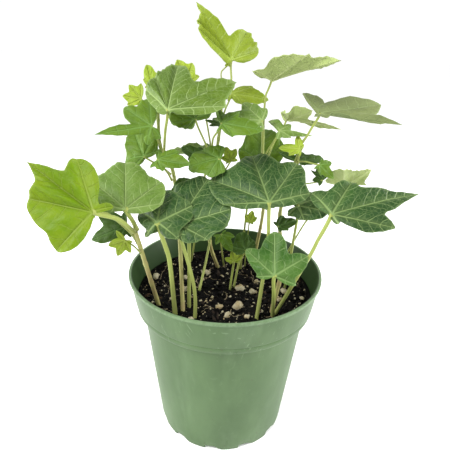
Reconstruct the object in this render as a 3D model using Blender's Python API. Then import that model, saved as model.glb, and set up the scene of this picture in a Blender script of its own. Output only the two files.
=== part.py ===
"""Ivy in a moulded nursery pot: a thin green pot with a deep collar and a ring of feet,
peat soil, rooted stems, and lobed leaves, each one piece with its own leaf stalk.
Lengths are in millimetres until the meshes are made. +Z is up, -Y is the front, and the
origin is the centre of the pot's foot."""

import math

import bmesh
import bpy
from mathutils import Vector

MM = 0.001
GAP = 0.3

# ---- pot
POT_HEIGHT = 106.0
RIM_RADIUS = 57.0
COLLAR_HEIGHT = 22.0
COLLAR_FOOT_RADIUS = 52.6
BODY_TOP_RADIUS = 49.3
BASE_RADIUS = 39.75
WALL = 1.4
LIP_HEIGHT = 1.5
LIP_PROUD = 0.5
FEET = 12
FOOT_START = 1.0              # degrees from the front, to the right
FOOT_NOTCH = 2.2
FLOOR_TOP = 4.1
GUTTER = (25.0, 33.0, 2.5)    # inner radius, outer radius and height of the ring under the floor
DRAIN_HOLES = 4
DRAIN_RADIUS = 4.5

# ---- soil
SOIL_HEIGHT = 92.6
SOIL_DISHING = 1.8            # how much lower the soil is at the wall
SOIL_RADIUS = 51.8

# ---- leaves
BLADE = 0.7                   # thickness of a leaf
MARGIN_POINTS = 20
STALK_SIDES = 5
HALF_WAY = 0.55               # place of the middle ring between the stalk and the margin

# a leaf's habit: the spread (degrees) and bluntness of its tip, then of its side lobes
HABIT = {"shallow": (75.0, 1.6, 75.0, 1.6), "broad": (66.0, 1.3, 66.0, 1.3),
         "lobed": (56.0, 1.15, 56.0, 1.15), "tailed": (34.0, 0.8, 64.0, 1.3),
         "fan": (42.0, 0.9, 64.0, 1.3), "flared": (38.0, 0.8, 70.0, 1.9)}
BASE_SHARE = 0.55             # the base lobes fall away to the stalk over this share of their spread

# colour, roughness
GREENS = {
    "leaf_dark": ((0.045, 0.115, 0.035), 0.42),
    "leaf_mid": ((0.085, 0.200, 0.040), 0.42),
    "leaf_light": ((0.200, 0.360, 0.090), 0.45),
    "leaf_lime": ((0.340, 0.500, 0.030), 0.45),
    "leaf_young": ((0.450, 0.580, 0.060), 0.45),
}


# ---------------------------------------------------------------- scene and materials

def clear_scene():
    for old in list(bpy.data.objects):
        bpy.data.objects.remove(old, do_unlink=True)


def material(name, colour, roughness):
    made = bpy.data.materials.get(name)
    if made is None:
        made = bpy.data.materials.new(name)
        made.use_nodes = True
        shader = made.node_tree.nodes["Principled BSDF"]
        shader.inputs["Base Color"].default_value = (*colour, 1.0)
        shader.inputs["Roughness"].default_value = roughness
        shader.inputs["Metallic"].default_value = 0.0
    return made


def add_object(name, bm, surface, sharp_angle=35.0):
    """The mesh is built in millimetres and goes into the scene in metres."""
    bmesh.ops.scale(bm, vec=(MM, MM, MM), verts=bm.verts)
    mesh = bpy.data.meshes.new(name)
    bm.to_mesh(mesh)
    bm.free()
    mesh.materials.append(surface)
    mesh.shade_smooth()
    mesh.set_sharp_from_angle(angle=math.radians(sharp_angle))
    piece = bpy.data.objects.new(name, mesh)
    bpy.context.scene.collection.objects.link(piece)
    return piece


# ---------------------------------------------------------------- turned pieces

def lathe(profile, columns, drop=None):
    """Turn a closed (radius, height) profile, listed down the outside and up the inside.
    A profile point on the axis becomes one vertex. drop(radius, height, angle) may move a height."""
    bm = bmesh.new()
    rings = []
    for radius, height in profile:
        if radius == 0.0:
            rings.append([bm.verts.new((0.0, 0.0, height))])
            continue
        ring = []
        for angle in columns:
            z = drop(radius, height, angle) if drop else height
            ring.append(bm.verts.new((radius * math.sin(angle), -radius * math.cos(angle), z)))
        rings.append(ring)
    count = len(columns)
    for upper, lower in zip(rings, rings[1:] + rings[:1]):
        if len(upper) == 1 and len(lower) == 1:
            continue
        for i in range(count):
            j = (i + 1) % count
            if len(upper) == 1:
                bm.faces.new((upper[0], lower[i], lower[j]))
            elif len(lower) == 1:
                bm.faces.new((upper[i], lower[0], upper[j]))
            else:
                bm.faces.new((upper[i], lower[i], lower[j], upper[j]))
    bm.normal_update()
    return bm


def collar_radius(height):
    """Outer radius of the tapering collar."""
    share = (POT_HEIGHT - height) / COLLAR_HEIGHT
    return RIM_RADIUS - LIP_PROUD + (COLLAR_FOOT_RADIUS - RIM_RADIUS + LIP_PROUD) * share


def body_radius(height):
    """Outer radius of the tapering body below the collar."""
    share = height / (POT_HEIGHT - COLLAR_HEIGHT)
    return BASE_RADIUS + (BODY_TOP_RADIUS - BASE_RADIUS) * share


def foot_columns():
    """Angles of the pot's columns: a flat foot, a short step, a flat notch and a slope, FEET times."""
    pitch = 360.0 / FEET
    marks = (0.0, 7.5, 15.0, 15.8, 20.0, 24.0)
    return [math.radians(FOOT_START + k * pitch + mark) for k in range(FEET) for mark in marks]


def foot_height(angle):
    """Height of the foot ring's underside at this angle."""
    pitch = 360.0 / FEET
    along = (math.degrees(angle) - FOOT_START) % pitch
    if along < 15.4 or along > pitch - 0.1:
        return 0.0
    if along < 24.5:
        return FOOT_NOTCH
    return FOOT_NOTCH * (pitch - along) / (pitch - 24.0)


def build_pot():
    step = POT_HEIGHT - COLLAR_HEIGHT
    gutter_in, gutter_out, gutter_height = GUTTER
    band = step + 4.0
    profile = [
        (RIM_RADIUS - 0.5, POT_HEIGHT),
        (RIM_RADIUS, POT_HEIGHT - 0.4),
        (RIM_RADIUS, POT_HEIGHT - LIP_HEIGHT),
        (collar_radius(POT_HEIGHT - LIP_HEIGHT - 0.4), POT_HEIGHT - LIP_HEIGHT - 0.4),
        (collar_radius(band + 0.4) + 0.1, band + 0.4),
        (collar_radius(band) - 0.2, band),
        (collar_radius(step + 0.8), step + 0.8),
        (COLLAR_FOOT_RADIUS - 0.6, step),
        (BODY_TOP_RADIUS + 0.3, step - 0.6),
        (body_radius(step - 1.4), step - 1.4),
        (body_radius(step * 0.5), step * 0.5),
        (body_radius(8.0), 8.0),
        (BASE_RADIUS, 0.6),
        (BASE_RADIUS - 0.5, 0.0),
        (gutter_out, 0.0),
        (gutter_out - 0.3, gutter_height),
        (gutter_in + 0.3, gutter_height),
        (gutter_in, 0.0),
        (0.0, 0.0),
        (0.0, WALL),
        (gutter_in - 2.0, WALL),
        (gutter_in - 2.0, FLOOR_TOP),
        (body_radius(FLOOR_TOP) - WALL, FLOOR_TOP),
        (body_radius(step - 1.0) - WALL, step - 0.2),
        (COLLAR_FOOT_RADIUS - WALL, step + 1.2),
        (RIM_RADIUS - 0.5 - WALL, POT_HEIGHT - 0.3),
        (RIM_RADIUS - 0.2 - WALL, POT_HEIGHT),
    ]

    def notch(radius, height, angle):
        if gutter_out <= radius <= BASE_RADIUS and height < 1.0:
            return height + foot_height(angle)
        return height

    pot = add_object("pot", lathe(profile, foot_columns(), notch),
                     material("pot_plastic", (0.115, 0.210, 0.105), 0.45))
    for k in range(DRAIN_HOLES):
        turn = math.radians(45.0 + k * 360.0 / DRAIN_HOLES)
        reach = (gutter_in + gutter_out) / 2.0
        bm = bmesh.new()
        bmesh.ops.create_cone(bm, cap_ends=True, segments=16, radius1=DRAIN_RADIUS,
                              radius2=DRAIN_RADIUS, depth=12.0)
        bmesh.ops.translate(bm, verts=bm.verts, vec=(reach * math.cos(turn), reach * math.sin(turn), 3.0))
        cutter = add_object("drain_cutter_%d" % (k + 1), bm, pot.data.materials[0])
        cutter.hide_render = True
        cutter.display_type = 'WIRE'
        cut = pot.modifiers.new("drain_%d" % (k + 1), 'BOOLEAN')
        cut.operation = 'DIFFERENCE'
        cut.solver = 'EXACT'
        cut.object = cutter


def soil_top(x, y):
    """Height of the soil's surface at a place in the pot."""
    return SOIL_HEIGHT - SOIL_DISHING * (x * x + y * y) / SOIL_RADIUS ** 2


def build_soil():
    step = POT_HEIGHT - COLLAR_HEIGHT
    gutter_in = GUTTER[0]
    wall = WALL + GAP + 0.1
    edge = soil_top(SOIL_RADIUS, 0.0)
    profile = [(0.0, soil_top(0.0, 0.0))]
    profile += [(r, soil_top(r, 0.0)) for r in (17.0, 34.0)]
    profile += [
        (collar_radius(edge) - wall, edge),
        (COLLAR_FOOT_RADIUS - wall, step + 1.7),
        (body_radius(step - 1.0) - wall, step + 0.3),
        (body_radius(FLOOR_TOP) - wall, FLOOR_TOP + GAP),
        (gutter_in - 2.4, FLOOR_TOP + GAP),
        (gutter_in - 2.4, WALL + GAP),
        (0.0, WALL + GAP),
    ]
    columns = [math.radians(k * 7.5) for k in range(48)]
    add_object("soil", lathe(profile, columns), material("peat", (0.018, 0.014, 0.011), 0.95))


# ---------------------------------------------------------------- stems and stalks

def smooth_path(points, steps):
    """Points along a Catmull-Rom curve through the given ones."""
    points = [Vector(p) for p in points]
    ends = [points[0] * 2 - points[1]] + points + [points[-1] * 2 - points[-2]]
    path = []
    for a, b, c, d in zip(ends, ends[1:], ends[2:], ends[3:]):
        for k in range(steps):
            t = k / steps
            path.append(0.5 * (2 * b + (c - a) * t + (2 * a - 5 * b + 4 * c - d) * t ** 2
                               + (3 * b - a - 3 * c + d) * t ** 3))
    path.append(points[-1])
    return path


def ring_around(bm, centre, along, side, radius, sides, start=0.0):
    """A ring of vertices square to 'along'; 'side' gives its first direction."""
    across = (side - along * side.dot(along)).normalized()
    other = along.cross(across)
    ring = []
    for k in range(sides):
        angle = start + 2 * math.pi * k / sides
        ring.append(bm.verts.new(centre + (across * math.cos(angle) + other * math.sin(angle)) * radius))
    return ring, across


def tube_down(bm, ring, side, path, radii, start):
    """Carry a ring of vertices along a path, and close the far end."""
    sides = len(ring)
    for k in range(1, len(path)):
        ahead = path[min(k + 1, len(path) - 1)] - path[k - 1]
        lower, side = ring_around(bm, path[k], ahead.normalized(), side, radii[k], sides, start)
        for i in range(sides):
            j = (i + 1) % sides
            bm.faces.new((ring[i], ring[j], lower[j], lower[i]))
        ring = lower
    bm.faces.new(ring)


def build_stem(name, points, thick, thin):
    """A woody or green shoot from the soil up, with its two ends closed."""
    path = smooth_path(points, 2)
    radii = [thick + (thin - thick) * k / (len(path) - 1) for k in range(len(path))]
    bm = bmesh.new()
    first, side = ring_around(bm, path[0], Vector((0, 0, 1)), Vector((0, 1, 0)), radii[0], 6)
    bm.faces.new(list(reversed(first)))
    tube_down(bm, first, side, path, radii, 0.0)
    add_object(name, bm, material("stem_bark", (0.330, 0.290, 0.130), 0.6))


# ---------------------------------------------------------------- leaves

def wrap(angle):
    return (angle + 180.0) % 360.0 - 180.0


def margin(angle, lobes, habit):
    """How far the blade reaches from the stalk in this direction: five lobes that run into each
    other, on a small body with a notch at the stalk."""
    tip_spread, tip_blunt, side_spread, side_blunt = HABIT[habit]
    mean = sum(lobe[1] for lobe in lobes) / len(lobes)
    total = (mean * 0.32 * (0.55 + 0.45 * math.cos(math.radians(angle)))) ** 8
    for k, (centre, length, lift, *narrow) in enumerate(lobes):
        spread, blunt = (tip_spread, tip_blunt) if k == 0 else (side_spread, side_blunt)
        spread = narrow[0] if narrow else spread
        off = wrap(angle - centre)
        if k > 2 and off * centre > 0.0:
            spread *= BASE_SHARE
        off = abs(off) / spread
        if off < 1.0:
            total += (length * (1.0 - off ** blunt)) ** 8
    return total ** 0.125


def lift_at(angle, lobes):
    """How far the margin rises or droops in this direction, blended between the lobes."""
    around = sorted((lobe[0] % 360.0, lobe[2]) for lobe in lobes)
    behind = 0.5 * (lobes[-1][2] + lobes[-2][2])
    around = sorted(around + [(180.0, behind)])
    angle %= 360.0
    for (a, low), (b, high) in zip(around, around[1:] + [(around[0][0] + 360.0, around[0][1])]):
        if a <= angle <= b:
            share = 0.5 - 0.5 * math.cos(math.pi * (angle - a) / (b - a))
            return low + (high - low) * share
    return behind


def margin_angles(lobes):
    """Twenty directions: five tips, the bays between them, their shoulders, and the notch."""
    left = [0.0, lobes[1][0], lobes[3][0]]
    right = [0.0, lobes[2][0] % 360.0, lobes[4][0] % 360.0]
    angles = []
    for a, b in ((left[0], left[1]), (left[1], left[2]), (right[2], right[1]), (right[1], 360.0)):
        angles += [a + (b - a) * share for share in (0.0, 0.25, 0.5, 0.75)]
    angles.append(left[2])
    for share in (0.6, 1.0):
        angles.append(left[2] + (180.0 - left[2]) * share)
    angles.append(180.0 + (right[2] - 180.0) * 0.4)
    return sorted(angles)


def build_leaf(name, green, habit, at, faces, spin, tip, left, right, left_base, right_base,
               stalk, stalk_radius=1.15):
    """One leaf with its stalk. at: where the stalk meets the blade. faces: compass angle and height
    angle of the upper side. spin: turn of the tip from straight uphill. tip and the four side lobes:
    (direction from the tip, length, lift, and its own spread if it is narrow). stalk: places from the
    root up, without the blade's end."""
    direction, height = (math.radians(v) for v in faces)
    normal = Vector((math.cos(height) * math.cos(direction), math.cos(height) * math.sin(direction),
                     math.sin(height)))
    uphill = Vector((-math.sin(height) * math.cos(direction), -math.sin(height) * math.sin(direction),
                     math.cos(height)))
    level = normal.cross(uphill)
    turn = math.radians(spin)
    forward = uphill * math.cos(turn) + level * math.sin(turn)
    side = normal.cross(forward)
    centre = Vector(at)
    lobes = [(0.0, *tip), left, right, left_base, right_base]
    angles = margin_angles(lobes)

    def place(angle, share, drop):
        reach = margin(angle, lobes, habit) * share
        a = math.radians(angle)
        up = lift_at(angle, lobes) * share * share - drop
        return centre + (forward * math.cos(a) + side * math.sin(a)) * reach + normal * up

    bm = bmesh.new()
    top_edge = [bm.verts.new(place(a, 1.0, 0.0)) for a in angles]
    top_mid = [bm.verts.new(place(a, HALF_WAY, 0.0)) for a in angles]
    low_edge = [bm.verts.new(place(a, 1.0, BLADE)) for a in angles]
    low_mid = [bm.verts.new(place(a, HALF_WAY, BLADE)) for a in angles]
    heart = bm.verts.new(centre)

    # stalk: a curve from the root to the underside, which it meets square on
    under = centre - normal * BLADE
    way = [Vector(p) for p in stalk]
    span = (under - way[-1]).length
    aim = ((under - way[-1]).normalized() + Vector((0, 0, 0.5))).normalized()
    arrive = ((under - way[-1]).normalized() * 1.2 + normal).normalized()
    p0, p3 = way[-1], under
    p1, p2 = p0 + aim * span * 0.33, p3 - arrive * span * 0.33
    bend = [(p3 * (1 - t) ** 3 + 3 * p2 * t * (1 - t) ** 2 + 3 * p1 * t * t * (1 - t) + p0 * t ** 3)
            for t in (0.0, 0.08, 0.25, 0.5, 0.75, 1.0)]
    path = bend + list(reversed(way[:-1]))
    group = MARGIN_POINTS // STALK_SIDES
    hub_angles = [sum(angles[i * group:(i + 1) * group]) / group for i in range(STALK_SIDES)]
    hub = []
    for angle in hub_angles:
        a = math.radians(angle)
        hub.append(bm.verts.new(under + (forward * math.cos(a) + side * math.sin(a)) * stalk_radius))

    count = MARGIN_POINTS
    for i in range(count):
        j = (i + 1) % count
        bm.faces.new((heart, top_mid[i], top_mid[j]))
        bm.faces.new((top_mid[i], top_edge[i], top_edge[j]))
        bm.faces.new((top_mid[i], top_edge[j], top_mid[j]))
        bm.faces.new((low_mid[i], low_edge[j], low_edge[i]))
        bm.faces.new((low_mid[i], low_mid[j], low_edge[j]))
        bm.faces.new((top_edge[i], low_edge[i], low_edge[j], top_edge[j]))
        bm.faces.new((hub[i // group], low_mid[j], low_mid[i]))
    for i in range(STALK_SIDES):
        j = (i + 1) % STALK_SIDES
        bm.faces.new((hub[i], hub[j], low_mid[(i + 1) * group % count]))

    # the stalk's rings start where the hub's first vertex is, and turn the same way
    ring = hub
    last_side = forward
    for k in range(1, len(path)):
        ahead = (path[min(k + 1, len(path) - 1)] - path[k - 1]).normalized()
        if k == len(path) - 1:
            ahead = Vector((0, 0, -1))
        across = (last_side - ahead * last_side.dot(ahead)).normalized()
        other = across.cross(ahead)
        lower = []
        for angle in hub_angles:
            a = math.radians(angle)
            lower.append(bm.verts.new(path[k] + (across * math.cos(a) + other * math.sin(a)) * stalk_radius))
        for i in range(STALK_SIDES):
            j = (i + 1) % STALK_SIDES
            bm.faces.new((ring[i], lower[i], lower[j], ring[j]))
        ring = lower
        last_side = across
    bm.faces.new(list(reversed(ring)))
    bmesh.ops.recalc_face_normals(bm, faces=bm.faces)
    colour, roughness = GREENS[green]
    add_object(name, bm, material(green, colour, roughness), 60.0)


def root(x, y):
    """Where a stalk or stem stands on the soil."""
    return (x, y, soil_top(x, y) + GAP)


# ---------------------------------------------------------------- the plant

def build_stems():
    build_stem("stem_left", [root(-38, -19), (-44, -26, 126), (-46, -32, 143)], 1.2, 1.0)
    build_stem("stem_mid_left", [root(-23, -27), (-26, -13, 136), (-30, -2, 165), (-36, -2, 177),
                                 (-38, 3, 187), (-38.5, 8, 204)], 1.1, 0.8)
    build_stem("stem_centre", [root(-5, 24), (-10, 9, 120), (-8, 7, 150), (-7, 6, 172),
                               (-5, 5, 193), (-5, 4, 212)], 1.1, 0.7)
    build_stem("stem_back", [root(18, 28), (22, 22, 130), (21, 14, 152), (19, 9, 170),
                             (18, 7, 190)], 1.1, 0.8)
    build_stem("stem_right", [root(27, -23), (31, -19, 118), (29, -8, 145), (35, 0, 168),
                              (39, 0, 182)], 1.2, 0.9)


def build_lower_leaves():
    """The big leaves round the pot's mouth, and the small ones among the stalks."""
    build_leaf("leaf_front_right", "leaf_dark", "broad", at=(20.1, -33.1, 161.6), faces=(-95, 60), spin=17,
               tip=(35.5, -2), left=(46, 35, -3), right=(-42, 32, -2), left_base=(77, 19, -2),
               right_base=(-84, 22, -1), stalk=[root(18, -31), (21, -27, 125), (21.5, -28, 140)])
    build_leaf("leaf_right_pointed", "leaf_dark", "tailed", at=(49, -42, 160), faces=(-105, 58), spin=-60,
               tip=(45, -3, 46), left=(42, 23, 1), right=(-33, 29, -3, 40), left_base=(98, 19, -2),
               right_base=(-80, 6, -1), stalk=[root(29, -25), (35, -28, 109), (43, -36, 136)])
    build_leaf("leaf_left_lime", "leaf_lime", "flared", at=(-58, -60, 165), faces=(-80, 38), spin=49,
               tip=(37, 0), left=(25, 28, -2), right=(-34, 25, 2, 42), left_base=(86, 22, -3),
               right_base=(-122, 9, -2, 40), stalk=[(-47, -35, 145), (-49, -42, 152)], stalk_radius=1.3)
    build_leaf("leaf_left_round", "leaf_light", "shallow", at=(-48, -41.7, 159.4), faces=(-80, 58), spin=0,
               tip=(29, -2), left=(40, 26, -2), right=(-45, 24, -2), left_base=(72, 18, -2),
               right_base=(-78, 14, -2), stalk=[(-46, -31, 145)], stalk_radius=1.3)
    build_leaf("leaf_front_left", "leaf_dark", "shallow", at=(-34, -38, 151), faces=(-95, 58), spin=2,
               tip=(22, -1), left=(50, 13, -2), right=(-52, 20, -1), left_base=(138, 8, -3),
               right_base=(-120, 12, -4), stalk=[root(-27, -30), (-29, -31, 125)], stalk_radius=1.4)
    build_leaf("leaf_front_centre", "leaf_dark", "shallow", at=(-24.8, -33.8, 148.8), faces=(-110, 52), spin=-61,
               tip=(28, -1), left=(49, 30, -1), right=(-42, 15, -2), left_base=(88, 17, 0),
               right_base=(-85, 8, -2), stalk=[root(-16, -31), (-16, -29, 110), (-23, -29, 136)])
    build_leaf("leaf_inner_shade", "leaf_dark", "shallow", at=(-20, -22, 155), faces=(-90, 57), spin=9,
               tip=(18, -1), left=(44, 13, -1), right=(-44, 20, -1), left_base=(82, 14, -1),
               right_base=(-82, 14, -1), stalk=[root(-20, -22), (-20, -20, 125)])
    build_leaf("leaf_right_low", "leaf_dark", "shallow", at=(36, -22, 156), faces=(-90, 60), spin=-97,
               tip=(16, -2), left=(35, 15, 0), right=(-60, 8, -3), left_base=(110, 11, 0),
               right_base=(-130, 7, -2), stalk=[root(37, 2), (38, -12, 142)], stalk_radius=0.9)
    build_leaf("leaf_left_low", "leaf_dark", "lobed", at=(-53, -22, 141), faces=(-90, 55), spin=112,
               tip=(19, -2), left=(40, 9, -2), right=(-49, 18, 0), left_base=(100, 6, -1),
               right_base=(-98, 9, 0), stalk=[(-46.8, -27.2, 135)], stalk_radius=0.7)
    build_leaf("leaf_left_back", "leaf_mid", "tailed", at=(-77, -22, 152), faces=(-90, 60), spin=44,
               tip=(38, 0), left=(40, 18, -1), right=(-30, 24, 0), left_base=(95, 9, 0),
               right_base=(-90, 9, 0), stalk=[(-47, -28, 138), (-60, -22, 147)], stalk_radius=0.7)
    build_leaf("leaf_pot_front", "leaf_mid", "broad", at=(24, -46, 128), faces=(-80, 38), spin=-7,
               tip=(23, -1, 58), left=(50, 19, 0, 56), right=(-57, 20, 0, 56), left_base=(95, 9, 0),
               right_base=(-108, 12, 0), stalk=[root(27, -28), (26, -34, 108)])
    build_leaf("leaf_low_right", "leaf_dark", "lobed", at=(27, -20, 143), faces=(-90, 60), spin=-64,
               tip=(12, -1), left=(40, 8, 0), right=(-44, 6, 0), left_base=(100, 4, 0),
               right_base=(-100, 4, 0), stalk=[(29.2, -13.5, 138)], stalk_radius=0.5)
    build_leaf("leaf_low_centre", "leaf_dark", "shallow", at=(12, 4, 116), faces=(-90, 50), spin=18,
               tip=(12, 0), left=(57, 9, 0), right=(-53, 8, 0), left_base=(100, 6, 0),
               right_base=(-100, 6, 0), stalk=[root(5.5, -0.5), (8, 3, 108)], stalk_radius=0.75)
    build_leaf("young_leaf_fork", "leaf_young", "lobed", at=(5, 0, 110), faces=(-90, 40), spin=10,
               tip=(7, 0), left=(60, 6, 0), right=(-54, 7, 0), left_base=(105, 3, 0),
               right_base=(-105, 3, 0), stalk=[root(3.2, -2.5)], stalk_radius=0.75)
    build_leaf("young_leaf_low", "leaf_mid", "lobed", at=(-3, 6, 125), faces=(-90, 40), spin=-147,
               tip=(12, 0), left=(49, 8, 0), right=(-60, 7, 0), left_base=(105, 4, 0),
               right_base=(-110, 5, 0), stalk=[root(-1, 27), (-3, 17, 112)], stalk_radius=0.6)
    build_leaf("young_leaf_back", "leaf_young", "lobed", at=(14, 20, 127), faces=(-90, 30), spin=-14,
               tip=(8, 0), left=(40, 6, 0), right=(-40, 6, 0), left_base=(95, 3, 0),
               right_base=(-95, 3, 0), stalk=[root(13, 27)], stalk_radius=0.5)
    build_leaf("young_leaf_left", "leaf_young", "lobed", at=(-52, -30, 137), faces=(-90, 30), spin=155,
               tip=(9, 0), left=(50, 7, 0), right=(-45, 9, 0), left_base=(105, 4, 0),
               right_base=(-110, 7, 0), stalk=[(-45.5, -29.6, 131)], stalk_radius=0.5)


def build_middle_leaves():
    """The leaves behind the big ones, half way up."""
    build_leaf("leaf_inner_left", "leaf_mid", "lobed", at=(-36, -18, 177), faces=(-90, 60), spin=-100,
               tip=(17, 0), left=(40, 12, 0), right=(-57, 9, 0), left_base=(100, 8, 0),
               right_base=(-110, 6, 0), stalk=[(-31, -5.6, 163)], stalk_radius=0.6)
    build_leaf("leaf_inner_back", "leaf_light", "lobed", at=(-12, 16, 172.5), faces=(90, 55), spin=-100,
               tip=(24, 0), left=(50, 18, 0), right=(-45, 10, 3), left_base=(100, 13, 0),
               right_base=(-100, 8, 4), stalk=[root(-23, 33), (-20, 28, 112)], stalk_radius=0.7)
    build_leaf("leaf_inner_mid", "leaf_dark", "lobed", at=(-14.3, -0.2, 173.3), faces=(-90, 55), spin=59,
               tip=(14, 0), left=(40, 8, 0), right=(-46, 8, 0), left_base=(95, 4, 0),
               right_base=(-95, 5, 0), stalk=[(-9.6, 5, 162)], stalk_radius=0.5)
    build_leaf("leaf_inner_front", "leaf_mid", "shallow", at=(-5, -11.9, 176.6), faces=(-120, 55), spin=113,
               tip=(18, -2), left=(57, 11, -2), right=(-38, 12, 0), left_base=(100, 8, -2),
               right_base=(-95, 9, 0), stalk=[(-13.6, -26, 108), (-8, -12, 134), (-7, -5, 158)],
               stalk_radius=0.75)
    build_leaf("leaf_behind_right", "leaf_dark", "shallow", at=(17, 14, 169), faces=(-90, 50), spin=-9,
               tip=(24, -1), left=(58, 14, 0), right=(-42, 18, 0), left_base=(98, 10, 0),
               right_base=(-88, 12, 0), stalk=[root(10, 24), (12, 24, 132)], stalk_radius=0.8)
    build_leaf("young_leaf_right", "leaf_young", "lobed", at=(37, -5, 181), faces=(-90, 50), spin=82,
               tip=(11, -1), left=(40, 7, 0), right=(-75, 8, 1), left_base=(100, 4, 0),
               right_base=(-120, 4, 0), stalk=[(37.3, -2, 174)], stalk_radius=0.45)
    build_leaf("leaf_right_small", "leaf_dark", "lobed", at=(38, 7, 171), faces=(-80, 66), spin=-80,
               tip=(17, -1), left=(47, 10, 0), right=(-45, 5, 0), left_base=(125, 12, 0),
               right_base=(-115, 4, 0), stalk=[(34, 3, 160)], stalk_radius=0.5)
    build_leaf("leaf_right_hanging", "leaf_mid", "lobed", at=(49, -2, 172), faces=(-70, 35), spin=-139,
               tip=(11, 0), left=(53, 8, 0), right=(-43, 6, 0), left_base=(105, 4, 0),
               right_base=(-105, 4, 0), stalk=[(38.2, -1, 173)], stalk_radius=0.5)
    build_leaf("leaf_right_inner", "leaf_dark", "tailed", at=(53, 4, 161.5), faces=(-90, 40), spin=51,
               tip=(9, 0), left=(40, 6, 0), right=(-30, 8, 0), left_base=(95, 4, 0),
               right_base=(-90, 4, 0), stalk=[(34.5, -2.4, 158)], stalk_radius=0.5)
    build_leaf("leaf_right_underside", "leaf_light", "lobed", at=(67.5, 14, 155.5), faces=(90, 52), spin=18,
               tip=(25, 0), left=(40, 13, 0), right=(-32, 27, 0), left_base=(90, 9, 0),
               right_base=(-80, 14, 0), stalk=[root(31, 14), (39, 10, 115), (46, 6, 135)],
               stalk_radius=0.6)
    build_leaf("young_leaf_centre", "leaf_young", "lobed", at=(1, 0, 172), faces=(-90, 40), spin=20,
               tip=(9, 0), left=(50, 6, 0), right=(-40, 8, 0), left_base=(100, 3, 0),
               right_base=(-100, 4, 0), stalk=[(-4.6, 4, 160)], stalk_radius=0.5)


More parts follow.
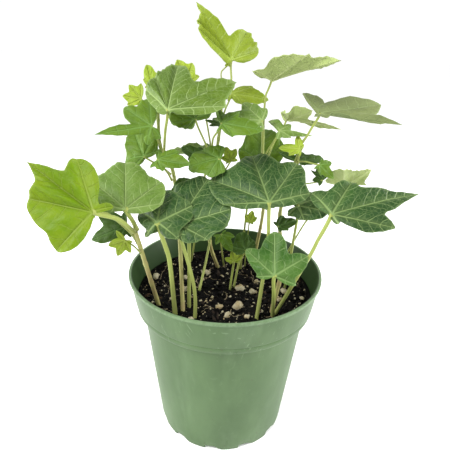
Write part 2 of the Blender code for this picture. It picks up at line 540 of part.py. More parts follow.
def build_upper_leaves():
    """The crown: young pale leaves on thin stalks, and the long tailed ones."""
    build_leaf("leaf_upper_left", "leaf_mid", "lobed", at=(-29.5, -24, 203), faces=(-100, 58), spin=6,
               tip=(36, -2), left=(22, 27, -2), right=(-54, 38, -1), left_base=(38, 21, -2),
               right_base=(-80, 27, -2), stalk=[(-34.5, -5.5, 174), (-32.5, -13, 188)], stalk_radius=0.8)
    build_leaf("leaf_upper_left_under", "leaf_mid", "shallow", at=(-18, -4, 195), faces=(-90, 60), spin=54,
               tip=(18, -1), left=(45, 12, -2), right=(-60, 18, -1), left_base=(95, 9, -1),
               right_base=(-105, 9, -1), stalk=[(-9.8, 5, 166), (-11, -2, 177)], stalk_radius=0.6)
    build_leaf("leaf_left_tailed", "leaf_mid", "tailed", at=(-39, -14, 193), faces=(-70, 55), spin=97,
               tip=(28, -1), left=(60, 8, -3), right=(-58, 18, 0), left_base=(122, 7, -3),
               right_base=(-105, 20, 0), stalk=[(-37.2, -2.5, 181)], stalk_radius=0.6)
    build_leaf("leaf_left_hanging", "leaf_mid", "shallow", at=(-44.8, -7, 175.1), faces=(-110, 45), spin=39,
               tip=(18, 0), left=(62, 12, -2), right=(-40, 13, 0), left_base=(105, 8, -1),
               right_base=(-90, 8, 0), stalk=[(-32.4, -4.6, 166)], stalk_radius=0.6)
    build_leaf("leaf_top", "leaf_lime", "fan", at=(0, 0, 224), faces=(-55, 35), spin=16,
               tip=(33, 0), left=(13, 24, 0), right=(-62, 21.5, 0), left_base=(24, 13, 0),
               right_base=(-93, 19, 0), stalk=[(-2.8, 2.6, 206), (0, 1, 213)], stalk_radius=0.6)
    build_leaf("leaf_upper_right", "leaf_light", "tailed", at=(21, 8, 214), faces=(90, 58), spin=50,
               tip=(39, 0), left=(30, 9, 6), right=(-24, 30, 0), left_base=(95, 6, 6),
               right_base=(-92, 16, 0), stalk=[(18, 6.5, 192), (18, 6, 205)], stalk_radius=0.65)
    build_leaf("leaf_right_twisted", "leaf_mid", "tailed", at=(46, -4, 200), faces=(-90, 72), spin=-105,
               tip=(40, 0), left=(33, 34, 0), right=(-40, 5, 2), left_base=(125, 20, 1),
               right_base=(-120, 5, 2), stalk=[(39, -0.5, 184), (41, -2, 188)], stalk_radius=0.75)
    build_leaf("leaf_right_narrow", "leaf_light", "tailed", at=(31, 12, 193), faces=(90, 62), spin=92,
               tip=(30, -2), left=(45, 12, 4), right=(-50, 17, 1), left_base=(100, 9, 5),
               right_base=(-105, 13, 1), stalk=[(20, 10.5, 172)], stalk_radius=0.55)
    build_leaf("leaf_upper_centre_lime", "leaf_lime", "lobed", at=(0.5, 12, 206), faces=(-90, 62), spin=-95,
               tip=(20, -3), left=(35, 13, 0), right=(-40, 8, -2), left_base=(120, 8, 0),
               right_base=(-110, 5, -1), stalk=[(-3.4, 6.2, 196)], stalk_radius=0.55)
    build_leaf("leaf_upper_centre", "leaf_light", "lobed", at=(16, -8, 196), faces=(-90, 60), spin=85,
               tip=(24, -1), left=(40, 5, -2), right=(-50, 17, 0), left_base=(110, 4, -2),
               right_base=(-100, 11, 0), stalk=[(17.8, 5.5, 172), (18, 0, 180)], stalk_radius=0.6)
    build_leaf("leaf_centre_dark", "leaf_dark", "lobed", at=(-4, -20, 196.5), faces=(-100, 60), spin=-93,
               tip=(20, -2), left=(57, 12, 0), right=(-40, 8, -2), left_base=(115, 11, 0),
               right_base=(-110, 5, -1), stalk=[(-8.8, 4.6, 172), (-9, -6, 184)], stalk_radius=0.6)
    build_leaf("leaf_centre_small", "leaf_dark", "tailed", at=(-5, -1, 192.2), faces=(-90, 70), spin=67,
               tip=(9, 0), left=(40, 6, 0), right=(-35, 7, 0), left_base=(100, 3, 0),
               right_base=(-100, 3, 0), stalk=[(-6, 2.8, 183)], stalk_radius=0.4)
    build_leaf("leaf_centre_edge", "leaf_light", "tailed", at=(26, -2, 190), faces=(-90, 72), spin=-83,
               tip=(18, -3), left=(40, 9, 0), right=(-40, 7, -2), left_base=(104, 13, 0),
               right_base=(-112, 6, -1), stalk=[(20.5, 6, 170), (22, -2, 179)], stalk_radius=0.6)
    build_leaf("young_leaf_side", "leaf_young", "lobed", at=(-47.5, 8, 202), faces=(-80, 30), spin=78,
               tip=(10, 0), left=(35, 8, 0), right=(-41, 10, 0), left_base=(90, 5, 0),
               right_base=(-80, 9, 0), stalk=[(-40.2, 6.5, 197)], stalk_radius=0.45)
    build_leaf("young_leaf_crown_left", "leaf_young", "lobed", at=(-42, 12, 208.5), faces=(-80, 30), spin=11,
               tip=(12, 0), left=(40, 6, 0), right=(-35, 8, 0), left_base=(90, 4, 0),
               right_base=(-90, 4, 0), stalk=[(-40, 10.6, 205)], stalk_radius=0.45)
    build_leaf("young_leaf_crown_right", "leaf_young", "lobed", at=(-24, 16, 210), faces=(-90, 30), spin=23,
               tip=(14, 0), left=(35, 12, 0), right=(-35, 12, 0), left_base=(80, 7, 0),
               right_base=(-80, 8, 0), stalk=[(-9.8, 7, 176), (-14, 10, 198)], stalk_radius=0.55)
    build_leaf("young_leaf_bud", "leaf_young", "lobed", at=(-1, 3, 222), faces=(-90, 20), spin=61,
               tip=(4, 0), left=(60, 3, 0), right=(-60, 3, 0), left_base=(110, 2, 0),
               right_base=(-110, 2, 0), stalk=[(-5, 4, 213), (-5.5, 4, 217)], stalk_radius=0.4)


clear_scene()
build_pot()
build_soil()
build_stems()
build_lower_leaves()
build_middle_leaves()
build_upper_leaves()
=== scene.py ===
"""Young ivy in a moulded nursery pot: pot, soil, shoots and every leaf in full detail round the
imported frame. Lengths are in millimetres until a mesh is made. +Z is up and -Y is the front."""

import math
import random

import bmesh
import bpy
from mathutils import Euler, Matrix, Vector, noise


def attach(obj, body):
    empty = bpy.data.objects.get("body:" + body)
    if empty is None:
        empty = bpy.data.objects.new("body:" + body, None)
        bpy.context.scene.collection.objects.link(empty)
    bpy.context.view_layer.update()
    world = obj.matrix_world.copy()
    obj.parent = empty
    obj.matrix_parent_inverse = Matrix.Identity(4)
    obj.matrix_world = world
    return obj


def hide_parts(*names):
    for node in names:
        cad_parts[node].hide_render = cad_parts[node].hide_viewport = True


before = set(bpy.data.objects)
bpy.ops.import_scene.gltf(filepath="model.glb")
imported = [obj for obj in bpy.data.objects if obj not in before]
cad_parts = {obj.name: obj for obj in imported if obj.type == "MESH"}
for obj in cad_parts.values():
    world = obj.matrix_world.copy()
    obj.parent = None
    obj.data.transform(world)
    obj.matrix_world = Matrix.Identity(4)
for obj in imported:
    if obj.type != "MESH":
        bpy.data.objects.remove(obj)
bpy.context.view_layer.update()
MM = 0.001

# ---------------------------------------------------------------- table, lamps and camera
# A white table under an even white sky, with a broad soft lamp high at the front left and one low
# at either side. The camera looks down on the pot from close by, a little turned on its axis.

CAMERA_AT = (-1.0, -243.94, 243.45)
CAMERA_DIP = 24.2
CAMERA_ROLL = 1.75
CAMERA_LENS = 37.2
SKY_LIGHT = 1.04
TABLE_SIDE = 6.0              # in metres
TABLE_WHITE = (0.97, 0.97, 0.97, 1.0)
LAMPS = (                     # each lamp's place and width in millimetres, and its power in watts
    ((-380.0, -420.0, 760.0), 380.0, 7.0),
    ((-700.0, 60.0, 260.0), 300.0, 4.0),
    ((700.0, 60.0, 280.0), 300.0, 7.0),
)
LIT_POINT = Vector((0.0, 0.0, 0.15))

bpy.ops.object.select_all(action='DESELECT')
bpy.ops.mesh.primitive_plane_add(size=TABLE_SIDE, location=(0.0, 0.0, 0.0))
table = bpy.context.object
table.name = "table"
table_paint = bpy.data.materials.new("table_white")
table_paint.use_nodes = True
paint = table_paint.node_tree.nodes["Principled BSDF"]
paint.inputs["Base Color"].default_value = TABLE_WHITE
paint.inputs["Roughness"].default_value = 0.9
paint.inputs["Specular IOR Level"].default_value = 0.1
table.data.materials.append(table_paint)

scene = bpy.context.scene
scene.view_settings.view_transform = 'Standard'
scene.world = bpy.data.worlds.new("white_sky")
scene.world.use_nodes = True
sky = scene.world.node_tree.nodes["Background"]
sky.inputs["Color"].default_value = (1.0, 1.0, 1.0, 1.0)
sky.inputs["Strength"].default_value = SKY_LIGHT

for place, size, power in LAMPS:
    bpy.ops.object.light_add(type='AREA', location=[v * MM for v in place])
    lamp = bpy.context.object
    lamp.data.size = size * MM
    lamp.data.energy = power
    lamp.rotation_euler = (LIT_POINT - lamp.location).to_track_quat('-Z', 'Y').to_euler()

bpy.ops.object.camera_add()
camera = bpy.context.object
camera.matrix_world = (Matrix.Translation([v * MM for v in CAMERA_AT])
                       @ Matrix.Rotation(math.radians(90.0 - CAMERA_DIP), 4, 'X')
                       @ Matrix.Rotation(math.radians(CAMERA_ROLL), 4, 'Z'))
camera.data.lens = CAMERA_LENS
camera.data.clip_start = 0.01
scene.camera = camera

# ---------------------------------------------------------------- pot
# Injection moulded green plastic, 1.4 mm thick: a tapering body under a deep collar with a bevelled
# foot and a thin rim lip, twelve feet cut into the base ring, and a raised floor with drain holes.

POT_HEIGHT = 106.0
RIM_RADIUS = 57.0
COLLAR_HEIGHT = 22.0
COLLAR_FOOT_RADIUS = 52.6
BODY_TOP_RADIUS = 49.3
BASE_RADIUS = 39.75
WALL = 1.4
LIP_HEIGHT = 1.5
LIP_PROUD = 0.5
FEET = 12
FOOT_START = 1.0              # where the first foot begins, in degrees from the front
FOOT_PITCH = 360.0 / FEET
FOOT_FLAT, NOTCH_END, FOOT_SLOPE = 15.4, 24.5, 6.0   # degrees along one foot
FOOT_NOTCH = 2.2
FLOOR_TOP = 4.1
GUTTER_IN, GUTTER_OUT, GUTTER_HEIGHT = 25.0, 33.0, 2.5
DRAIN_HOLES = 4
DRAIN_RADIUS = 4.5
PUNCH_LENGTH, PUNCH_MIDDLE = 12.0, 3.0
RIB_WIDTH = 0.5
RIB_ROUNDING = 0.15
POT_COLUMNS = 288
POT_GREEN = (0.070, 0.126, 0.046)
POT_GREEN_DEEP = (0.050, 0.096, 0.032)
SCUFF_AND_HIGHLIGHT = (0.210, 0.300, 0.175)
INNER_WALL_SHADE = (0.020, 0.046, 0.011)
SOIL_DUST = (0.060, 0.050, 0.030)


class Wire:
    """What one node gives out. Sums and products of wires add Math nodes."""

    def __init__(self, finish, socket):
        self.finish, self.socket = finish, socket

    def maths(self, operation, first, second=0.0, third=0.0):
        return self.finish.node("Math", {"operation": operation}, {0: first, 1: second, 2: third})

    def __add__(self, other): return self.maths('ADD', self, other)
    def __radd__(self, other): return self.maths('ADD', other, self)
    def __sub__(self, other): return self.maths('SUBTRACT', self, other)
    def __rsub__(self, other): return self.maths('SUBTRACT', other, self)
    def __mul__(self, other): return self.maths('MULTIPLY', self, other)
    def __rmul__(self, other): return self.maths('MULTIPLY', other, self)
    def __truediv__(self, other): return self.maths('DIVIDE', self, other)


class Finish:
    """One material: its constants, and the nodes that paint what changes over the surface."""

    def __init__(self, name, **constants):
        self.material = bpy.data.materials.new(name)
        self.material.use_nodes = True
        self.tree = self.material.node_tree
        self.shader = self.tree.nodes["Principled BSDF"]
        for socket, value in constants.items():
            self.shader.inputs[socket.replace("_", " ")].default_value = value

    def node(self, kind, settings=None, inputs=None, output=0):
        made = self.tree.nodes.new("ShaderNode" + kind)
        for key, value in (settings or {}).items():
            setattr(made, key, value)
        for key, value in (inputs or {}).items():
            self.feed(made.inputs[key], value)
        return Wire(self, made.outputs[output])

    def feed(self, socket, value):
        if isinstance(value, Wire):
            self.tree.links.new(value.socket, socket)
        elif hasattr(value, "__len__") and socket.type == 'RGBA':
            socket.default_value = (*value[:3], 1.0)
        else:
            socket.default_value = value

    def part(self, vector, axis):
        """One number of a vector: 0, 1 or 2 for X, Y or Z."""
        return self.node("SeparateXYZ", {}, {0: vector}, output=axis)

    def stretch(self, place, scale, turn=(0.0, 0.0, 0.0)):
        return self.node("Mapping", {}, {"Vector": place, "Rotation": turn, "Scale": scale})

    def mix(self, share, first, second):
        return self.node("Mix", {"data_type": 'RGBA'}, {0: share, 6: first, 7: second}, output=2)

    def spots(self, place, scale, detail=3.0, roughness=0.55, lean=0.0):
        """Cloudy noise from about 0 to 1."""
        return self.node("TexNoise", {}, {"Vector": place, "Scale": scale, "Detail": detail,
                                          "Roughness": roughness, "Distortion": lean})

    def band(self, value, low, high, start=0.0, end=1.0):
        """Smooth step from start, where value is low, to end, where it is high."""
        return self.node("MapRange", {"interpolation_type": 'SMOOTHSTEP'},
                         {0: value, 1: low, 2: high, 3: start, 4: end})

    def paint(self, colour=None, roughness=None, height=None, depth=0.2):
        if colour is not None:
            self.feed(self.shader.inputs["Base Color"], colour)
        if roughness is not None:
            self.feed(self.shader.inputs["Roughness"], roughness)
        if height is not None:
            bump = {"Height": height, "Strength": 1.0, "Distance": depth * MM}
            self.feed(self.shader.inputs["Normal"], self.node("Bump", {}, bump))
        return self.material


def turn_profile(name, profile, columns):
    """Turn a (radius, height) profile: a circle, extruded and resized ring by ring."""
    bpy.ops.object.select_all(action='DESELECT')
    bpy.ops.mesh.primitive_circle_add(vertices=columns, radius=profile[0][0] * MM, fill_type='NGON',
                                      location=(0.0, 0.0, profile[0][1] * MM),
                                      rotation=(0.0, 0.0, math.radians(FOOT_START - 90.0)))
    piece = bpy.context.object
    piece.name = piece.data.name = name
    bpy.ops.object.transform_apply(location=True, rotation=True, scale=True)
    bpy.ops.object.mode_set(mode='EDIT')
    bpy.ops.mesh.select_all(action='SELECT')
    for (radius, height), (next_radius, next_height) in zip(profile, profile[1:]):
        bpy.ops.mesh.extrude_region_move(
            TRANSFORM_OT_translate={"value": (0.0, 0.0, (next_height - height) * MM)})
        share = next_radius / radius
        bpy.ops.transform.resize(value=(share, share, 1.0),
                                 center_override=(0.0, 0.0, next_height * MM))
    bpy.ops.mesh.select_all(action='SELECT')
    bpy.ops.mesh.normals_make_consistent(inside=False)
    bpy.ops.object.mode_set(mode='OBJECT')
    return piece


def collar_radius(height):
    share = (POT_HEIGHT - height) / COLLAR_HEIGHT
    return RIM_RADIUS - LIP_PROUD + (COLLAR_FOOT_RADIUS - RIM_RADIUS + LIP_PROUD) * share


def body_radius(height):
    return BASE_RADIUS + (BODY_TOP_RADIUS - BASE_RADIUS) * height / (POT_HEIGHT - COLLAR_HEIGHT)


def foot_height(angle):
    """Height of the base ring's underside: a flat foot, a short step up, a notch and a slope down."""
    along = (math.degrees(angle) - FOOT_START) % FOOT_PITCH
    if along < FOOT_FLAT:
        return 0.0
    if along < NOTCH_END:
        return FOOT_NOTCH
    return FOOT_NOTCH * (FOOT_PITCH - along) / FOOT_SLOPE


STEP = POT_HEIGHT - COLLAR_HEIGHT      # height of the collar's underside
BAND = STEP + 4.0                      # height of the fine line round the collar
pot_profile = [
    (2.0, 0.0), (GUTTER_IN, 0.0), (GUTTER_IN + 0.3, GUTTER_HEIGHT),
    (GUTTER_OUT - 0.3, GUTTER_HEIGHT), (GUTTER_OUT, 0.0), (BASE_RADIUS - 0.6, 0.0),
    (BASE_RADIUS - 0.15, 0.15), (BASE_RADIUS, 0.6),
    (body_radius(4.0), 4.0), (body_radius(8.0), 8.0), (body_radius(25.0), 25.0),
    (body_radius(45.0), 45.0), (body_radius(65.0), 65.0), (body_radius(STEP - 2.6), STEP - 2.6),
    (body_radius(STEP - 1.4) + 0.05, STEP - 1.4), (BODY_TOP_RADIUS + 0.5, STEP - 0.7),
    (COLLAR_FOOT_RADIUS - 0.9, STEP - 0.1), (COLLAR_FOOT_RADIUS - 0.35, STEP + 0.1),
    (collar_radius(STEP + 0.9), STEP + 0.9), (collar_radius(BAND - 0.5), BAND - 0.5),
    (collar_radius(BAND) - 0.22, BAND), (collar_radius(BAND + 0.35) + 0.02, BAND + 0.35),
    (collar_radius(BAND + 1.0) + 0.1, BAND + 1.0),
    (collar_radius(POT_HEIGHT - 6.0), POT_HEIGHT - 6.0),
    (collar_radius(POT_HEIGHT - LIP_HEIGHT - 0.5), POT_HEIGHT - LIP_HEIGHT - 0.5),
    (RIM_RADIUS - 0.1, POT_HEIGHT - LIP_HEIGHT), (RIM_RADIUS, POT_HEIGHT - LIP_HEIGHT + 0.2),
    (RIM_RADIUS, POT_HEIGHT - 0.5), (RIM_RADIUS - 0.15, POT_HEIGHT - 0.14),
    (RIM_RADIUS - 0.5, POT_HEIGHT), (RIM_RADIUS - WALL - 0.2, POT_HEIGHT),
    (RIM_RADIUS - WALL - 0.45, POT_HEIGHT - 0.15), (RIM_RADIUS - WALL - 0.55, POT_HEIGHT - 0.6),
    (collar_radius(STEP + 8.0) - WALL, STEP + 8.0), (COLLAR_FOOT_RADIUS - WALL, STEP + 1.2),
    (body_radius(STEP - 1.0) - WALL, STEP - 0.2), (body_radius(FLOOR_TOP) - WALL, FLOOR_TOP),
    (GUTTER_IN - 2.0, FLOOR_TOP), (GUTTER_IN - 2.0, WALL), (2.0, WALL),
]
pot = turn_profile("nursery_pot", pot_profile, POT_COLUMNS)
for vertex in pot.data.vertices:
    out, up = math.hypot(vertex.co.x, vertex.co.y) / MM, vertex.co.z / MM
    if out > GUTTER_OUT - 0.1 and up < 1.0:
        vertex.co.z += foot_height(math.atan2(vertex.co.x, -vertex.co.y)) * MM

for k in range(DRAIN_HOLES):
    turn = 2 * math.pi * (k + 0.5) / DRAIN_HOLES
    reach = (GUTTER_IN + GUTTER_OUT) / 2.0 * MM
    middle = (reach * math.cos(turn), reach * math.sin(turn), PUNCH_MIDDLE * MM)
    bpy.ops.mesh.primitive_cylinder_add(vertices=48, radius=DRAIN_RADIUS * MM,
                                        depth=PUNCH_LENGTH * MM, location=middle)
    punch = bpy.context.object
    cut = pot.modifiers.new("drain_hole", 'BOOLEAN')
    cut.operation, cut.solver, cut.object = 'DIFFERENCE', 'EXACT', punch
    bpy.context.view_layer.objects.active = pot
    bpy.ops.object.modifier_apply(modifier=cut.name)
    bpy.data.objects.remove(punch, do_unlink=True)

# three small ribs left by the mould: two on the collar's lower band, one by the foot
for angle, height, radius, tall in ((5.5, BAND - 2.0, collar_radius(BAND - 2.0), 2.6),
                                    (7.5, BAND - 2.0, collar_radius(BAND - 2.0), 1.8),
                                    (6.0, 8.0, body_radius(8.0), 4.5)):
    bpy.ops.mesh.primitive_cube_add(size=1.0)
    rib = bpy.context.object
    rib.scale = (RIB_WIDTH * MM, RIB_WIDTH * MM, tall * MM)
    turn = math.radians(angle)
    reach = (radius - 0.05) * MM
    rib.location = (reach * math.sin(turn), -reach * math.cos(turn), height * MM)
    rib.rotation_euler = (0.0, 0.0, turn)
    round_off = rib.modifiers.new("round_off", 'BEVEL')
    round_off.width, round_off.segments = RIB_ROUNDING * MM, 3
    bpy.ops.object.modifier_apply(modifier=round_off.name)
    bpy.ops.object.transform_apply(location=True, rotation=True, scale=True)
    pot.select_set(True)
    bpy.context.view_layer.objects.active = pot
    bpy.ops.object.join()
bpy.ops.object.mode_set(mode='EDIT')
bpy.ops.mesh.select_all(action='SELECT')
bpy.ops.mesh.dissolve_degenerate(threshold=0.000002)
bpy.ops.object.mode_set(mode='OBJECT')
bpy.ops.object.shade_smooth_by_angle(angle=math.radians(32.0))

plastic = Finish("pot_plastic", Specular_IOR_Level=0.28)
place = plastic.node("TexCoord", output=3)
height = plastic.part(place, 2)
flow = plastic.stretch(place, (1.0, 1.0, 0.4))
cloud = plastic.spots(flow, 42.0, 4.0, 0.6)
fine = plastic.spots(place, 420.0, 3.0, 0.6)
green = plastic.mix(plastic.band(cloud, 0.3, 0.7), POT_GREEN, POT_GREEN_DEEP)
scuffs = plastic.spots(plastic.stretch(place, (1.0, 1.0, 5.0)), 190.0, 5.0, 0.7, 0.6)
scuffs = plastic.band(scuffs, 0.63, 0.76)
near_foot = plastic.band(height, 0.002, 0.020, 1.0, 0.15)
on_collar = plastic.band(height, 0.080, 0.092, 0.0, 0.45)
green = plastic.mix(scuffs * (near_foot + on_collar) * 0.55, green, SCUFF_AND_HIGHLIGHT)
scratch = plastic.stretch(place, (1.0, 9.0, 0.7), (0.4, 0.9, 0.3))
scratch = plastic.band(plastic.spots(scratch, 150.0, 2.0, 0.5, 1.5), 0.655, 0.675)
green = plastic.mix(scratch * plastic.band(height, 0.070, 0.090, 0.06, 0.28), green, SCUFF_AND_HIGHLIGHT)
smear = plastic.band(plastic.spots(flow, 17.0, 5.0, 0.65, 0.8), 0.50, 0.74)
green = plastic.mix(smear * 0.22, green, SCUFF_AND_HIGHLIGHT)
# painted highlight: a pale line along the top of the rim, broken up by fine noise, in the same colour
# as the scuffs
rim_highlight = plastic.band(height, (POT_HEIGHT - 1.9) * MM, (POT_HEIGHT - 0.7) * MM)
rim_highlight = rim_highlight * plastic.band(fine, 0.35, 0.6, 0.5, 1.0)
green = plastic.mix(rim_highlight * 0.45, green, SCUFF_AND_HIGHLIGHT)
specks = plastic.band(plastic.spots(place, 520.0, 2.0, 0.5), 0.68, 0.73)
low_edge = plastic.band(height, 0.0, 0.014, 0.9, 0.30)
green = plastic.mix(specks * low_edge, green, SOIL_DUST)
# painted shade: the inner wall from 87 mm up to the rim is painted dark green, standing in for the
# shade inside the pot
level = plastic.node("VectorMath", {"operation": 'MULTIPLY'}, {0: place, 1: (1.0, 1.0, 0.0)})
out = plastic.node("VectorMath", {"operation": 'LENGTH'}, {0: level}, output=1)
taper = (RIM_RADIUS - LIP_PROUD - COLLAR_FOOT_RADIUS) / COLLAR_HEIGHT
proud = out - ((RIM_RADIUS - LIP_PROUD) * MM - (POT_HEIGHT * MM - height) * taper)
inside = plastic.band(proud, -1.2 * MM, -0.7 * MM, 1.0, 0.0) * plastic.band(height, 0.0855, 0.087)
green = plastic.mix(inside, green, INNER_WALL_SHADE)
pot.data.materials.append(plastic.paint(colour=green, roughness=0.40 + cloud * 0.10 + scuffs * 0.15,
                                        height=fine * 0.35 + cloud * 0.5, depth=0.05))
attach(pot, "root")
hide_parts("pot")

# ---------------------------------------------------------------- soil
# Damp black peat, pressed in and watered level a little under the rim. In it lie crumbs of peat,
# cream perlite grains, chips of bark, and a few fine pale roots that have come to the top.

SOIL_HEIGHT = 92.6
SOIL_DISHING = 1.8
SOIL_RADIUS = 51.8
SOIL_CALM = 46.0              # beyond this radius the surface is smoother
SOIL_COLUMNS = 264
SOIL_RINGS, SOIL_RING_STEP = 72, 0.7
SOIL_GAP = 0.3
GRAIN_LEVEL = 2               # subdivision of the ball that each loose grain starts from
ROOT_COUNT = 34
ROOT_STEPS = 18
PEAT = (0.0018, 0.0015, 0.0012)
PEAT_DRY = (0.0080, 0.0055, 0.0035)
PERLITE = (0.38, 0.345, 0.23)
PERLITE_STAIN = (0.24, 0.165, 0.055)
BARK = (0.020, 0.011, 0.005)
BARK_TAN = (0.045, 0.026, 0.012)
ROOT_WHITE = (0.30, 0.25, 0.15)
ROOT_BROWN = (0.12, 0.08, 0.035)
LARGE_GRAINS = (              # where the larger perlite grains lie, and how wide they are
    (-12, 16, 5.0), (-25, 9, 4.6), (-24, -2, 4.0), (9, -3, 5.6), (17, -4, 5.2), (8, -20, 6.2),
    (-3, -23, 4.2), (-44, 11, 4.6), (36, -4, 4.4), (46, -9, 3.6), (2, -29, 4.6), (13, -30, 3.4),
    (32, -12, 4.2), (4, 32, 3.0), (24, 25, 3.2), (-14, 8, 3.2), (20, 8, 3.0), (-31, -14, 2.8),
    (-2, 12, 2.6), (43, 12, 3.6), (-36, 22, 3.4), (-7, -12, 2.4), (21, -25, 3.0), (-18, -33, 3.2),
)


def soil_top(x, y):
    return SOIL_HEIGHT - SOIL_DISHING * (x * x + y * y) / SOIL_RADIUS ** 2


def soil_surface(x, y):
    """Height of the surface: broad dips of 11 and 4 mm, crumbs under 2 mm and grit under 1 mm."""
    place = Vector((x, y, 0.0))
    broad = noise.noise(place * 0.09) * 1.5 + noise.noise(place * 0.23 + Vector((7, 1, 0)))
    crumbs = abs(noise.noise(place * 0.62 + Vector((0, 3, 5)))) * 1.5
    grit = noise.fractal(place * 1.4, 0.8, 2.1, 4) * 0.42
    hold = 1.0 if math.hypot(x, y) < SOIL_CALM else 0.55
    return soil_top(x, y) + (broad + crumbs + grit - 0.7) * hold


edge_height = soil_top(SOIL_RADIUS, 0.0)
soil_wall = WALL + SOIL_GAP            # from the pot's outer side to the soil
soil_profile = [
    (2.0, soil_wall), (GUTTER_IN - 2.4, soil_wall), (GUTTER_IN - 2.4, FLOOR_TOP + SOIL_GAP),
    (body_radius(FLOOR_TOP) - soil_wall, FLOOR_TOP + SOIL_GAP),
    (body_radius(STEP - 1.0) - soil_wall, STEP + 0.3), (COLLAR_FOOT_RADIUS - soil_wall, STEP + 1.7),
    (collar_radius(edge_height) - soil_wall, edge_height),
]
soil_profile += [(radius, soil_top(radius, 0.0)) for radius in
                 (SOIL_RADIUS - SOIL_RING_STEP * k for k in range(1, SOIL_RINGS + 1))]
soil = turn_profile("soil_plug", soil_profile, SOIL_COLUMNS)
for vertex in soil.data.vertices:
    x, y, z = vertex.co / MM
    if z > edge_height + 0.01 and math.hypot(x, y) < SOIL_RADIUS - SOIL_GAP:
        vertex.co.z = soil_surface(x, y) * MM
bpy.ops.object.shade_smooth()

peat = Finish("peat", Specular_IOR_Level=0.08)
place = peat.node("TexCoord", output=3)
clods = peat.spots(place, 260.0, 5.0, 0.7)
dry = peat.band(peat.spots(place, 95.0, 4.0, 0.65), 0.50, 0.72)
grit = peat.spots(place, 1500.0, 3.0, 0.6)
dark = peat.mix(dry * peat.band(clods, 0.4, 0.65), PEAT, PEAT_DRY)
dust = peat.band(peat.spots(place, 980.0, 1.0, 0.4), 0.735, 0.77)
dark = peat.mix(dust * 0.75, dark, PERLITE)
soil.data.materials.append(peat.paint(dark, 0.45 + clods * 0.5, clods * 0.7 + grit * 0.4, 0.7))
soil_pieces = [soil]


def new_piece(bm, name, material):
    """A smooth piece of the finished mesh, in its material."""
    mesh = bpy.data.meshes.new(name)
    bm.to_mesh(mesh)
    bm.free()
    mesh.shade_smooth()
    mesh.materials.append(material)
    piece = bpy.data.objects.new(name, mesh)
    scene.collection.objects.link(piece)
    return piece


def scatter(name, material, count, spread, widths, flatness, lumpiness, seed, places=()):
    """One mesh of many loose grains: a lumpy ball, copied, each squashed and turned its own way.
    flatness: the least and greatest of each grain's two lesser widths, as shares of the first."""
    chance = random.Random(seed)
    spots = list(places)
    while len(spots) < count + len(places):
        x, y = (chance.uniform(-spread, spread) for _ in range(2))
        if math.hypot(x, y) < spread:
            spots.append((x, y, chance.uniform(*widths) * chance.uniform(0.6, 1.0)))
    bm = bmesh.new()
    for x, y, wide in spots:
        shape = Vector((1.0, chance.uniform(*flatness[0]), chance.uniform(*flatness[1]))) * wide / 2.0
        turn = Euler((chance.uniform(-0.5, 0.5), chance.uniform(-0.5, 0.5), chance.uniform(0, 6.3)))
        made = bmesh.ops.create_icosphere(bm, subdivisions=GRAIN_LEVEL, radius=1.0)["verts"]
        shift = Vector((x, y, soil_surface(x, y) + shape.z * 0.35))
        for vertex in made:
            lump = 1.0 + lumpiness * noise.noise(vertex.co * 1.3 + Vector((x, y, wide)) * 3.1)
            spot = Vector(a * b for a, b in zip(vertex.co * lump, shape))
            spot.rotate(turn)
            vertex.co = (spot + shift) * MM
    soil_pieces.append(new_piece(bm, name, material))


scatter("soil_crumbs", peat.material, 900, 50.0, (1.2, 3.4), ((0.6, 1.0), (0.5, 0.9)), 0.9, 3)

perlite = Finish("perlite", Specular_IOR_Level=0.4)
place = perlite.node("TexCoord", output=3)
stain = perlite.band(perlite.spots(place, 170.0, 3.0, 0.6), 0.45, 0.68)
pores = perlite.spots(place, 1400.0, 2.0, 0.6)
cream = perlite.mix(stain * 0.75, PERLITE, PERLITE_STAIN)
cream = perlite.mix(perlite.band(pores, 0.55, 0.68) * 0.7, cream, PERLITE_STAIN)
perlite.paint(cream, 0.8, pores, 0.25)
scatter("soil_perlite", perlite.material, 420, 50.5, (0.35, 1.9), ((0.7, 1.0), (0.6, 0.9)), 0.7, 11,
        LARGE_GRAINS)

bark = Finish("bark_chips", Specular_IOR_Level=0.2)
place = bark.node("TexCoord", output=3)
woody = bark.spots(place, 300.0, 4.0, 0.6)
brown = bark.mix(woody, BARK, PEAT_DRY)
brown = bark.mix(bark.band(bark.spots(place, 70.0, 1.0), 0.56, 0.62), brown, BARK_TAN)
bark.paint(brown, 0.75, woody, 0.3)
scatter("soil_bark", bark.material, 170, 50.0, (2.0, 5.5), ((0.22, 0.5), (0.12, 0.3)), 0.6, 23)


def tube(bm, path, radii, sides):
    """A round tube along a path of points, closed at both ends. Returns its rings."""
    rings = []
    side = Vector((0.0, 1.0, 0.0))
    for k, centre in enumerate(path):
        along = (path[min(k + 1, len(path) - 1)] - path[max(k - 1, 0)]).normalized()
        side = (side - along * side.dot(along)).normalized()
        other = along.cross(side)
        ring = [side * math.cos(a) + other * math.sin(a)
                for a in (2 * math.pi * i / sides for i in range(sides))]
        rings.append([bm.verts.new((centre + way * radii[k]) * MM) for way in ring])
    for lower, upper in zip(rings, rings[1:]):
        for i in range(sides):
            j = (i + 1) % sides
            bm.faces.new((lower[i], lower[j], upper[j], upper[i]))
    bm.faces.new(list(reversed(rings[0])))
    bm.faces.new(rings[-1])
    return rings


